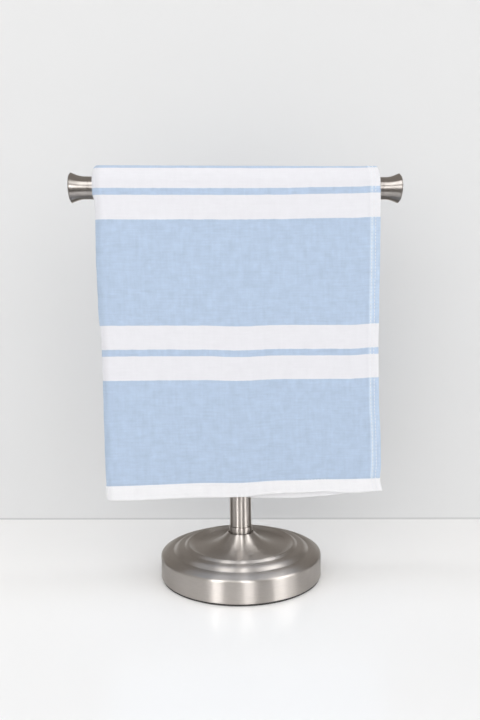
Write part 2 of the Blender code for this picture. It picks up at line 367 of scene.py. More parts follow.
def new_group(name: str, inputs: dict[str, float | None],
              outputs: Iterable[str]) -> tuple[Graph, Any, Any]:
    """Start a shader node group.

    Args:
        name: The group's name.
        inputs: Its inputs and their usual values, None for a vector.
        outputs: Names of its outputs, all plain values.

    Returns:
        The group's graph, its input node's outputs and its output node's inputs.
    """
    tree = bpy.data.node_groups.new(name, "ShaderNodeTree")
    for key, value in inputs.items():
        kind = "NodeSocketVector" if value is None else "NodeSocketFloat"
        socket = tree.interface.new_socket(name=key, in_out="INPUT", socket_type=kind)
        if value is not None:
            socket.default_value = value
    for key in outputs:
        tree.interface.new_socket(name=key, in_out="OUTPUT", socket_type="NodeSocketFloat")
    graph = Graph(tree)
    return graph, graph.node("NodeGroupInput").outputs, graph.node("NodeGroupOutput").inputs


def turned_grain_group() -> bpy.types.NodeTree:
    """Fine lines that run round a turned part, as a brushing belt leaves them.

    Returns:
        A group that reads a place whose Z is the part's axis and gives the lines' height and
        a slow variation of the finish, both about 0 to 1.
    """
    change_around = 0.004  # radius of the circle on which the lines are read, in metres
    drift_scale = 60.0
    graph, given, out = new_group("turned_grain", {"Place": None, "Lines": 2600.0}, ("Height", "Drift"))
    x, y, level = graph.parts(given["Place"])
    flat = graph.vector(x, y)
    around = graph.vector_math("NORMALIZE", {0: flat})[0]
    turn = graph.vector_math("SCALE", {0: around, "Scale": change_around})[0]
    meridian = graph.vector(graph.vector_math("LENGTH", {0: flat})["Value"], 0.0, level)
    place = graph.vector_math("ADD", {0: turn, 1: meridian})[0]
    graph.feed(out["Height"], graph.noise(place, given["Lines"], detail=3.0))
    graph.feed(out["Drift"], graph.noise(given["Place"], drift_scale, detail=3.0))
    return graph.tree


def plain_weave_group() -> bpy.types.NodeTree:
    """Plain weave of warp and weft threads, with the slubs of hand-loomed cotton.

    Returns:
        A group that reads places across and along the cloth in metres and gives the threads'
        height, the streaks of thicker weft and warp threads and soft blotches, all about 0 to 1.
    """
    inputs = {"Across": 0.0, "Along": 0.0, "Warp": 0.8 * MM, "Weft": 0.9 * MM}
    graph, given, out = new_group("plain_weave", inputs, ("Height", "Streak", "Rib", "Blotch"))
    across = given["Across"]
    along = given["Along"]

    def thread(own: Any, other: Any, phase: float) -> Any:
        """Height of one set of threads, which goes over and under the other set.

        Args:
            own: Place across these threads, counted in threads.
            other: Place across the other set.
            phase: Where the first crossing lies.

        Returns:
            The height's output.
        """
        ridge = graph.math("ABSOLUTE", graph.math("SINE", graph.math("MULTIPLY", own, math.pi)))
        row = graph.math("ADD", graph.math("FLOOR", own), phase)
        turn = graph.math("MULTIPLY", graph.math("ADD", other, row), math.pi)
        over = graph.math("MULTIPLY_ADD", graph.math("COSINE", turn), 0.5, 0.5)
        return graph.math("MULTIPLY", ridge, over)

    warp = graph.math("DIVIDE", across, given["Warp"])
    weft = graph.math("DIVIDE", along, given["Weft"])
    height = graph.math("MAXIMUM", thread(warp, weft, 0.5), thread(weft, warp, 1.5))
    graph.feed(out["Height"], height)
    for key, across_scale, along_scale in (("Streak", 60.0, 620.0), ("Rib", 420.0, 45.0)):
        place = graph.vector(graph.math("MULTIPLY", across, across_scale),
                             graph.math("MULTIPLY", along, along_scale))
        graph.feed(out[key], graph.noise(place, 1.0, roughness=0.6))
    blotch = graph.noise(graph.vector(across, along), 130.0, detail=3.0, roughness=0.6)
    graph.feed(out["Blotch"], blotch)
    return graph.tree


# ---------------------------------------------------------------------------- finishes
class GrainAxis(Enum):
    """The axis that a turned part's brushing runs round."""

    UPRIGHT = "Z"
    ALONG_BAR = "X"


@dataclass(frozen=True)
class BrushedNickel:
    """Satin nickel plating with fine brushed lines.

    Attributes:
        colour: Colour of the plating.
        worn: Brightness of the bottom of its lines.
        roughness: Blur of its reflections.
        drift: Least and most of that blur over a part, as shares of it.
        stretch: How much more the reflections are blurred across the lines than along them.
        stretch_turn: Direction of that blur, in turns from the lines' own.
        line_depth: Depth of the brushed lines, in metres.
    """

    colour: Colour = (0.49, 0.457, 0.43)
    worn: float = 0.93
    roughness: float = 0.315
    drift: Point = (0.9, 1.12)
    stretch: float = 0.98
    stretch_turn: float = 0.25
    line_depth: float = 2.0 * MICRON

    def material(self, name: str, grain: bpy.types.NodeTree, axis: GrainAxis,
                 height: float) -> bpy.types.Material:
        """Make the material for parts that are turned about one axis.

        Args:
            name: The material's name.
            grain: The group of brushed lines.
            axis: The axis that the lines run round.
            height: Height of that axis where it is level.

        Returns:
            The material.
        """
        made, graph, shader = new_material(name)
        place = graph.node("ShaderNodeTexCoord").outputs["Object"]
        if axis is GrainAxis.ALONG_BAR:
            lowered = {"Location": (0.0, 0.0, -height)}
            turned = {"Rotation": (0.0, math.radians(90.0), 0.0)}
            for move in (lowered, turned):
                place = graph.node("ShaderNodeMapping", {"Vector": place, **move}).outputs[0]
        lines = graph.node("ShaderNodeGroup", {"Place": place}, node_tree=grain).outputs
        worn = tuple(self.worn * part for part in self.colour)
        smooth, rough = (self.roughness * share for share in self.drift)
        tangent = graph.node("ShaderNodeTangent", direction_type="RADIAL", axis=axis.value)
        graph.feed_all(shader, {
            "Base Color": graph.mix(graph.ramp(lines["Height"], 0.3, 0.7), worn, self.colour),
            "Roughness": graph.ramp(lines["Drift"], 0.3, 0.7, smooth, rough),
            "Normal": graph.bump(lines["Height"], self.line_depth),
            "Tangent": tangent.outputs[0],
            "Metallic": 1.0,
            "Anisotropic": self.stretch,
            "Anisotropic Rotation": self.stretch_turn,
        })
        return made


@dataclass(frozen=True)
class FootRubber:
    """Dull dark rubber of the pad under the foot.

    Attributes:
        colour: Colour of the rubber.
        speckle: How much brighter its specks are.
        speckle_scale: Specks in a metre.
        relief: Depth of its surface, in metres.
        roughness: Its roughness.
    """

    colour: Colour = (0.035, 0.034, 0.033)
    speckle: float = 1.5
    speckle_scale: float = 900.0
    relief: float = 0.05 * MM
    roughness: float = 0.85

    def material(self, name: str) -> bpy.types.Material:
        """Make the material.

        Args:
            name: The material's name.

        Returns:
            The material.
        """
        made, graph, shader = new_material(name)
        place = graph.node("ShaderNodeTexCoord").outputs["Object"]
        specks = graph.noise(place, self.speckle_scale, detail=3.0)
        light = tuple(self.speckle * part for part in self.colour)
        graph.feed_all(shader, {
            "Base Color": graph.mix(specks, self.colour, light),
            "Normal": graph.bump(specks, self.relief, strength=0.6),
            "Roughness": self.roughness,
        })
        return made


@dataclass(frozen=True)
class StripedCotton:
    """Cotton with woven stripes: wide blue ones parted by white bands with a thin blue line.

    The stripes are measured along the cloth from its front hem, in metres.

    Attributes:
        blue: Colour of the blue weft.
        white: Colour of the white weft.
        hem_white: Colour of the white hem, which is two layers thick.
        side_blue: Colour of the blue stripes at the side hems.
        side_highlight: Colour of the painted highlight on the hems' inner border, where the cloth ends
            underneath.
        side_doubling: How far the white at a side hem is as bright as the end hem's.
        border: Distances from the side hem's inner edge between which that painted highlight starts.
        hem: Depth of the white hems.
        first_line: Middle of the first thin line.
        pitch: Distance from one thin line to the next.
        thin: Half width of a thin line.
        band: Half width of a white band, its thin line included.
        soft: Softness of the stripes' edges.
        hem_soft: Softness of the white hems' inner edges.
        side_soft: Softness of the side hems' inner edges, outwards and inwards.
        waver: How far the stripes' edges stray.
        white_calm: How much evener the white yarn is than the blue one.
        streaks: How uneven the weft threads are.
        ribs: How uneven the warp threads are.
        blotches: How uneven the cloth is as a whole.
        weave_tones: Brightness between the threads and on top of them.
        seam_shadow_above: Height of the painted shadow line above an end hem.
        seam_shadow_reach: Distances from that line at which its painted shade starts to fade and has
            faded.
        seam_shadow_tone: Brightness in that painted shadow line.
        fold_shade: Brightness of the painted shade along the folded edge.
        fold_reach: Distances from the fold at which that shade starts to fade and has faded.
        roughness: Roughness of the cotton.
        sheen: Strength of the soft sheen of its fibres.
        relief: Depth of the weave.
    """

    blue: Colour = (0.441, 0.543, 0.695)
    white: Colour = (0.766, 0.762, 0.797)
    hem_white: Colour = (0.838, 0.834, 0.852)
    side_blue: Colour = (0.495, 0.602, 0.755)
    side_highlight: Colour = (0.565, 0.67, 0.80)
    side_doubling: float = 0.45
    border: Point = (3.4 * MM, 2.4 * MM)
    hem: float = 13.0 * MM
    first_line: float = 123.1 * MM
    pitch: float = 134.4 * MM
    thin: float = 2.75 * MM
    band: float = 22.95 * MM
    soft: float = 0.25 * MM
    hem_soft: float = 0.2 * MM
    side_soft: Point = (0.5 * MM, 0.3 * MM)
    waver: float = 0.4 * MM
    white_calm: float = 0.75
    streaks: float = 0.2
    ribs: float = 0.14
    blotches: float = 0.25
    weave_tones: Point = (0.9, 1.03)
    seam_shadow_above: float = 0.9 * MM
    seam_shadow_reach: Point = (0.2 * MM, 0.9 * MM)
    seam_shadow_tone: float = 0.94
    fold_shade: float = 0.88
    fold_reach: Point = (2.0 * MM, 8.0 * MM)
    roughness: float = 0.92
    sheen: float = 0.12
    relief: float = 0.25 * MM

    def length(self) -> float:
        """Return the cloth's length, which ends a whole stripe at both hems."""
        return 2.0 * (self.first_line + self.pitch)

    def stripe_mask(self, graph: Graph, along: Any) -> Any:
        """Return where the weft is white, from the place along the cloth.

        Args:
            graph: The material's graph.
            along: The place along the cloth.

        Returns:
            The mask, 1 in white bands.
        """
        offset = graph.math("SUBTRACT", along, self.first_line)
        from_line = graph.math("PINGPONG", offset, self.pitch / 2)
        outside = graph.step(from_line, self.thin, self.soft)
        inside = graph.step(from_line, self.band, self.soft, 1.0, 0.0)
        return graph.math("MULTIPLY", outside, inside)

    def tone(self, graph: Graph, threads: Any, white: Any, to_end: Any, to_fold: Any) -> Any:
        """Return how light the cloth is: threads, painted shade over the end hems and along the fold.

        Args:
            graph: The material's graph.
            threads: Outputs of the group of woven threads.
            white: Where the weft is white.
            to_end: Distance from the nearer end of the cloth.
            to_fold: Distance from the folded edge.

        Returns:
            The brightness, about 1.
        """
        tone = graph.ramp(threads["Height"], 0.0, 0.8, *self.weave_tones)
        uneven = graph.math("SUBTRACT", 1.0, graph.math("MULTIPLY", white, self.white_calm))
        for name, swing in (("Streak", self.streaks), ("Rib", self.ribs), ("Blotch", self.blotches)):
            shift = graph.math("MULTIPLY", graph.math("SUBTRACT", threads[name], 0.5), swing)
            tone = graph.math("MULTIPLY", tone, graph.math("MULTIPLY_ADD", shift, uneven, 1.0))
        # Painted shadow line just above each end hem.
        seam = graph.math("ABSOLUTE", graph.math("SUBTRACT", to_end, self.hem + self.seam_shadow_above))
        seam = graph.ramp(seam, *self.seam_shadow_reach, self.seam_shadow_tone, 1.0)
        tone = graph.math("MULTIPLY", tone, seam)
        # Painted shade along the folded edge.
        return graph.math("MULTIPLY", tone, graph.ramp(to_fold, *self.fold_reach, self.fold_shade, 1.0))

    def material(self, name: str, weave: bpy.types.NodeTree, width: float,
                 side_hem: float) -> bpy.types.Material:
        """Make the material, which reads the cloth's own place attribute.

        Args:
            name: The material's name.
            weave: The group of woven threads.
            width: The cloth's width, in metres.
            side_hem: Width of its side hems, in metres.

        Returns:
            The material.
        """
        made, graph, shader = new_material(name)
        place = graph.node("ShaderNodeAttribute", attribute_name=PLACE).outputs["Vector"]
        across, along, _ = graph.parts(place)
        places = {"Across": across, "Along": along}
        threads = graph.node("ShaderNodeGroup", places, node_tree=weave).outputs
        to_end = graph.math("MINIMUM", along, graph.math("SUBTRACT", self.length(), along))
        to_side = graph.math("MINIMUM", across, graph.math("SUBTRACT", width, across))
        to_fold = graph.math("ABSOLUTE", graph.math("SUBTRACT", across, width / 2))

        wobble = graph.math("MULTIPLY_ADD", threads["Blotch"], 2 * self.waver, along)
        wobble = graph.math("SUBTRACT", wobble, self.waver)
        in_hem = graph.step(to_end, self.hem, self.hem_soft, 1.0, 0.0)
        white = graph.math("MAXIMUM", self.stripe_mask(graph, wobble), in_hem)
        outwards, inwards = self.side_soft
        in_side = graph.ramp(to_side, side_hem - outwards, side_hem + inwards, 1.0, 0.0)
        # Painted highlight along the side hems' inner border, paler than the blue.
        inner = graph.ramp(to_side, *(side_hem - edge for edge in self.border))
        side_blue_and_highlight = graph.mix(graph.math("MULTIPLY", in_side, inner), self.side_blue, self.side_highlight)
        blue = graph.mix(in_side, self.blue, side_blue_and_highlight)
        doubled = graph.math("MAXIMUM", in_hem, graph.math("MULTIPLY", in_side, self.side_doubling))
        cloth = graph.mix(white, blue, graph.mix(doubled, self.white, self.hem_white))

        tone = self.tone(graph, threads, white, to_end, to_fold)
        height = graph.math("MULTIPLY_ADD", threads["Streak"], 0.6, threads["Height"])
        graph.feed_all(shader, {
            "Base Color": graph.mix(1.0, cloth, graph.grey(tone), "MULTIPLY"),
            "Normal": graph.bump(height, self.relief, strength=0.7),
            "Roughness": self.roughness,
            "Sheen Weight": self.sheen,
            "Sheen Roughness": 0.6,
        })
        return made


@dataclass(frozen=True)
class SewingThread:
    """White twisted cotton thread of the hem stitches.

    Attributes:
        colour: Colour of the thread.
        dull: Brightness between its fibres.
        fibre_scale: Fibres in a metre.
        roughness: Its roughness.
    """

    colour: Colour = (0.86, 0.88, 0.92)
    dull: float = 0.86
    fibre_scale: float = 2500.0
    roughness: float = 0.8

    def material(self, name: str) -> bpy.types.Material:
        """Make the material.

        Args:
            name: The material's name.

        Returns:
            The material.
        """
        made, graph, shader = new_material(name)
        place = graph.node("ShaderNodeTexCoord").outputs["Object"]
        dull = tuple(self.dull * part for part in self.colour)
        fibre = graph.noise(place, self.fibre_scale)
        graph.feed_all(shader, {"Base Color": graph.mix(fibre, dull, self.colour),
                                "Roughness": self.roughness})
        return made


# ---------------------------------------------------------------------------- stand
@dataclass
class TurnedStand:
    """Foot, collar, post, crossbar and flared ends, finely turned on the frame's places.

    Attributes:
        upright: Finish of what is turned about the post's axis.
        level: Finish of what is turned about the crossbar's axis.
        rubber: Finish of the pad.
        mouldings: Turned rings inside the foot's rim, in mm: radius, height, how far the stretch
            up to the point bows outwards, and its steps.
        rim_rounding: Radius of the rim's edge.
        rim_turn: Angle over which that edge is rounded, in degrees.
        wall_top: Height at which the rim's edge starts.
        lower_edge: Size of the foot's lower edge.
        trumpet_radius: Radius of the trumpet's upper edge.
        trumpet_height: Height of that edge.
        trumpet_power: How steeply the trumpet rises at last.
        trumpet_steps: Steps of its curve.
        profile_step: Distance between the points of the foot's profile.
        profile_passes: How often that profile is eased.
        mouth_lip: Width of the trumpet's upper edge.
        mouth_depth: Depth of the recess that the collar stands in.
        undercut: How far the collar draws in over the recess.
        undercut_height: Height of that part.
        collar_rounding: Radius of the collar's edges.
        groove: How far the groove over the collar cuts into the post.
        groove_height: Height of that groove.
        post_edge: Size of the post's lower edge.
        cope_gap: Gap between the post's top and the bar.
        finial_bevel: Size of the bevel round a flared end's face.
        finial_dome: How far the face is domed.
        finial_edge: Size of a flared end's edge at its seat.
        flare_length: Length over which the end flares.
        flare_power: How late the flare opens.
        flare_steps: Points of the flare's curve.
        face_steps: Points of the face's curve.
        hairline: Gap left between pieces that meet face to face.
        foot_sides: Sides of the foot.
        tube_sides: Sides of the tubes.
    """

    upright: bpy.types.Material
    level: bpy.types.Material
    rubber: bpy.types.Material
    mouldings: Table = (
        (59.2, 22.7, 0.7, 16),
        (56.6, 24.8, 0.0, 6),
        (53.6, 25.9, 0.25, 8),
        (49.5, 26.2, 0.0, 8),
        (47.2, 27.9, 0.1, 6),
        (45.6, 27.9, 0.15, 5),
        (40.5, 25.6, -0.3, 10),
    )
    rim_rounding: float = 1.8 * MM
    rim_turn: float = 66.0
    wall_top: float = 18.8 * MM
    lower_edge: float = 0.5 * MM
    trumpet_radius: float = 11.4 * MM
    trumpet_height: float = 36.9 * MM
    trumpet_power: float = 3.0
    trumpet_steps: int = 30
    profile_step: float = 0.35 * MM
    profile_passes: int = 2
    mouth_lip: float = 0.35 * MM
    mouth_depth: float = 1.6 * MM
    undercut: float = 0.9 * MM
    undercut_height: float = 1.1 * MM
    collar_rounding: float = 0.4 * MM
    groove: float = 0.6 * MM
    groove_height: float = 0.5 * MM
    post_edge: float = 0.25 * MM
    cope_gap: float = 0.3 * MM
    finial_bevel: float = 1.1 * MM
    finial_dome: float = 1.2 * MM
    finial_edge: float = 0.15 * MM
    flare_length: float = 10.5 * MM
    flare_power: float = 1.6
    flare_steps: int = 25
    face_steps: int = 13
    hairline: float = 0.05 * MM
    foot_sides: int = 192
    tube_sides: int = 96

    def foot_profile(self) -> list[Point]:
        """Draw the foot, from the middle of its underside to the recess's floor.

        Returns:
            Points (radius, height).
        """
        low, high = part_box("base")
        radius = high.x
        under = [(0.0, low.z), (radius - self.lower_edge, low.z), (radius, low.z + self.lower_edge)]
        top = [under[-1]]
        rim = (radius - self.rim_rounding, self.wall_top)
        top += arc(rim, self.rim_rounding, 0.0, self.rim_turn, steps=12)
        for turn_radius, height, bow, steps in self.mouldings:
            top += bowed(top[-1], (turn_radius * MM, height * MM), steps, bow * MM)
        bowl_radius, bowl_height = top[-1]
        for share in np.linspace(0.0, 1.0, self.trumpet_steps + 1)[1:]:
            rise = (self.trumpet_height - bowl_height) * share ** self.trumpet_power
            top.append((bowl_radius + (self.trumpet_radius - bowl_radius) * share, bowl_height + rise))
        mouth = self.trumpet_radius - self.mouth_lip
        floor = self.trumpet_height - self.mouth_depth
        recess = [(mouth, self.trumpet_height), (mouth, floor), (0.0, floor)]
        return under + eased_profile(top, self.profile_step, self.profile_passes)[1:] + recess

    def collar_profile(self) -> list[Point]:
        """Draw the collar: an undercut foot, a rounded band and a narrow groove.

        Returns:
            Points (radius, height).
        """
        low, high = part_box("post_collar")
        neck = high.x - self.undercut
        band = self.trumpet_height + self.undercut_height
        top = high.z - self.groove_height
        side = high.x - self.collar_rounding
        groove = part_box("post")[1].x - self.groove
        points = [(0.0, low.z), (neck, low.z), (neck, band)]
        points += arc((side, band + self.collar_rounding), self.collar_rounding, -90.0, 0.0, steps=5)
        points += arc((side, top - self.collar_rounding), self.collar_rounding, 0.0, 90.0, steps=5)
        return points + [(groove, top), (groove, high.z), (0.0, high.z)]

    def post_profile(self) -> list[Point]:
        """Draw the post, up to the middle of the bar.

        Returns:
            Points (radius, height).
        """
        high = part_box("post")[1]
        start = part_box("post_collar")[1].z + self.hairline
        edge = [(high.x - self.post_edge, start), (high.x, start + self.post_edge)]
        return [(0.0, start), *edge, (high.x, high.z), (0.0, high.z)]

    def bar_profile(self) -> list[Point]:
        """Draw the crossbar along its axis, up to hairlines at both ends.

        Returns:
            Points (radius, place along the axis).
        """
        low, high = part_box("crossbar")
        radius = (high.z - low.z) / 2
        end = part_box("finial_right")[0].x - self.hairline
        return [(0.0, -end), (radius, -end), (radius, end), (0.0, end)]

    def finial_profile(self) -> list[Point]:
        """Draw a flared end: seat, flare, bevelled rim and slightly domed face.

        Returns:
            Points (radius, distance from the seat).
        """
        bar_low, bar_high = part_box("crossbar")
        low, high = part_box("finial_right")
        tube = (bar_high.z - bar_low.z) / 2
        rim = (high.z - low.z) / 2
        length = high.x - low.x - self.finial_dome
        flare_end = length - self.finial_bevel
        face = rim - self.finial_bevel
        points = [(0.0, 0.0), (tube - self.finial_edge, 0.0), (tube, self.finial_edge)]
        for share in np.linspace(0.0, 1.0, self.flare_steps):
            points.append((tube + (rim - tube) * share ** self.flare_power,
                           flare_end - self.flare_length * (1.0 - share)))
        for share in np.linspace(1.0, 0.0, self.face_steps):
            points.append((face * share, length + self.finial_dome * (1.0 - share ** 2)))
        return points

    def cope(self, mesh: bpy.types.Mesh) -> None:
        """Cut the post's top to the underside of the bar.

        Args:
            mesh: The post's mesh, changed in place.
        """
        low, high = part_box("crossbar")
        clear = (high.z - low.z) / 2 + self.cope_gap
        middle = (high.z + low.z) / 2
        for vert in mesh.vertices:
            if vert.co.z > low.z:
                vert.co.z = middle - math.sqrt(clear ** 2 - vert.co.y ** 2)

    def build(self) -> None:
        """Build and dress every turned piece."""
        upright = Matrix.Identity(4)
        quarter = math.radians(90.0)
        axis = Matrix.Translation((0.0, 0.0, bar_axis_height()))
        level = axis @ Matrix.Rotation(quarter, 4, "Y")
        foot = turned_mesh("turned_foot", self.foot_profile(), self.foot_sides, upright)
        collar = turned_mesh("turned_collar", self.collar_profile(), self.tube_sides, upright)
        post = turned_mesh("post_tube", self.post_profile(), self.tube_sides, upright)
        self.cope(post)
        bar = turned_mesh("bar_tube", self.bar_profile(), self.tube_sides, level)
        pieces = [(foot, self.upright, "base"), (collar, self.upright, "post_collar"),
                  (post, self.upright, "post"), (bar, self.level, "crossbar")]
        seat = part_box("finial_right")[0].x
        for side, word in ((-1.0, "left"), (1.0, "right")):
            place = Matrix.Translation((side * seat, 0.0, bar_axis_height()))
            place = place @ Matrix.Rotation(quarter * side, 4, "Y")
            mesh = turned_mesh(f"flared_end_{word}", self.finial_profile(), self.tube_sides, place)
            pieces.append((mesh, self.level, f"finial_{word}"))
        for mesh, material, node in pieces:
            piece = new_piece(mesh.name, mesh, material)
            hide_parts(node)
            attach(piece, BODY)
            LOG.info("%s: %d faces", mesh.name, len(mesh.polygons))
        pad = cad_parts["base_pad"]
        pad.data.materials.clear()
        pad.data.materials.append(self.rubber)


# ---------------------------------------------------------------------------- towel
PLACE = "cloth_place"


@dataclass(frozen=True)
class Drop:
    """One hanging side of the towel.

    Attributes:
        facing: -1 in front of the bar and 1 behind it.
        outline: Rows of depth below the bar's axis, folded edge and open edge, in mm.
        outer_hem: Rows of place across and height of the outer layer's lower edge, in mm.
        inner_hem: The same of the inner layer.
        folds: Rows of place at the bar, place at the hem, half width and depth, in mm.
    """

    facing: float
    outline: Table
    outer_hem: Table
    inner_hem: Table
    folds: Table

    def longest(self) -> float:
        """Return the drop's nominal length below the bar's axis."""
        return self.outline[-1][0] * MM

    def swell(self, x: np.ndarray, depth: np.ndarray) -> np.ndarray:
        """Return how far the soft folds push the cloth outwards.

        Args:
            x: Places across the towel.
            depth: Depths below the bar's axis.

        Returns:
            The push at each place, which grows towards the hem.
        """
        share = np.clip(depth / self.longest(), 0.0, 1.0)
        push = np.zeros_like(x)
        for top, foot, width, fold_depth in self.folds:
            centre = (top + (foot - top) * share) * MM
            reach = (x - centre) / (width * MM)
            push += fold_depth * MM * share ** 1.3 * np.exp(-reach * reach)
        return push


FRONT = Drop(
    facing=-1.0,
    outline=((0.0, -121.4, 120.2), (7.5, -121.2, 120.3), (14.0, -119.6, 120.4), (24.0, -119.0, 120.4),
             (60.0, -119.1, 120.0), (100.0, -118.2, 119.2), (140.0, -115.9, 118.4),
             (180.0, -115.4, 118.8), (220.0, -115.2, 120.2), (238.0, -114.8, 120.4),
             (251.0, -114.4, 119.5), (265.0, -113.9, 121.8)),
    outer_hem=((-118.0, 72.1), (-78.0, 72.0), (-35.0, 72.5), (0.0, 72.2), (34.0, 74.6),
               (68.0, 75.1), (96.0, 73.3), (121.0, 75.0)),
    inner_hem=((-118.0, 72.9), (-60.0, 73.5), (-10.0, 72.1), (20.0, 69.9), (44.0, 69.7),
               (70.0, 70.5), (96.0, 72.5), (121.0, 75.5)),
    folds=((-86.0, -96.0, 26.0, 1.5), (-30.0, -20.0, 30.0, 0.7), (44.0, 52.0, 26.0, 2.0),
           (120.0, 119.0, 16.0, 1.6)),
)
BACK = Drop(
    facing=1.0,
    outline=((0.0, -121.4, 120.2), (40.0, -119.8, 119.8), (90.0, -118.8, 118.6),
             (145.0, -118.2, 117.8), (200.0, -117.0, 118.6)),
    outer_hem=((-118.0, 145.1), (-50.0, 144.3), (10.0, 144.5), (60.0, 142.1), (121.0, 141.7)),
    inner_hem=((-118.0, 144.3), (-40.0, 141.6), (30.0, 139.0), (121.0, 136.8)),
    folds=((-70.0, -82.0, 30.0, 2.4), (20.0, 34.0, 24.0, 1.6), (100.0, 96.0, 26.0, 2.2)),
)

# How far the woven stripes run off the level, in mm: place across the towel, then the lift at
# the front hem, at the lower thin line and at the upper one.
STRIPE_LIFT = (
    (-116.0, -0.4, 1.4, 0.35),
    (-75.0, -0.2, 1.2, 0.3),
    (-33.0, 0.4, 0.7, 0.3),
    (0.0, -0.3, -0.4, 0.25),
    (34.0, 1.2, 0.5, 0.5),
    (68.0, 1.2, 0.1, 1.2),
    (94.0, 0.7, -0.2, 1.6),
    (116.0, 1.0, 0.9, 2.3),
)
LIFT_HEIGHTS = (85.0 * MM, 195.1 * MM, 329.5 * MM)

# Rows of the sheet above an end hem's edge and its columns beside a side hem's edge, in mm,
# and the row that the end hem's seam follows.
HEM_ROWS = (13.6, 12.9, 12.2, 11.4, 10.2, 8.6, 6.9, 5.2, 3.8, 2.8, 2.0, 1.2, 0.7, 0.3, 0.0)
HEM_COLUMNS = (0.0, 0.25, 0.6, 1.1, 2.6, 4.3, 5.8, 7.4, 8.7, 9.6)
SEAM_ROW = 11.4

# Waves of the hems' small ripples: share of their depth, length of a radian in mm and start.
RIPPLES = ((1.0, 1.55, 0.0), (0.8, 2.3, 1.1), (0.6, 3.7, 0.0))


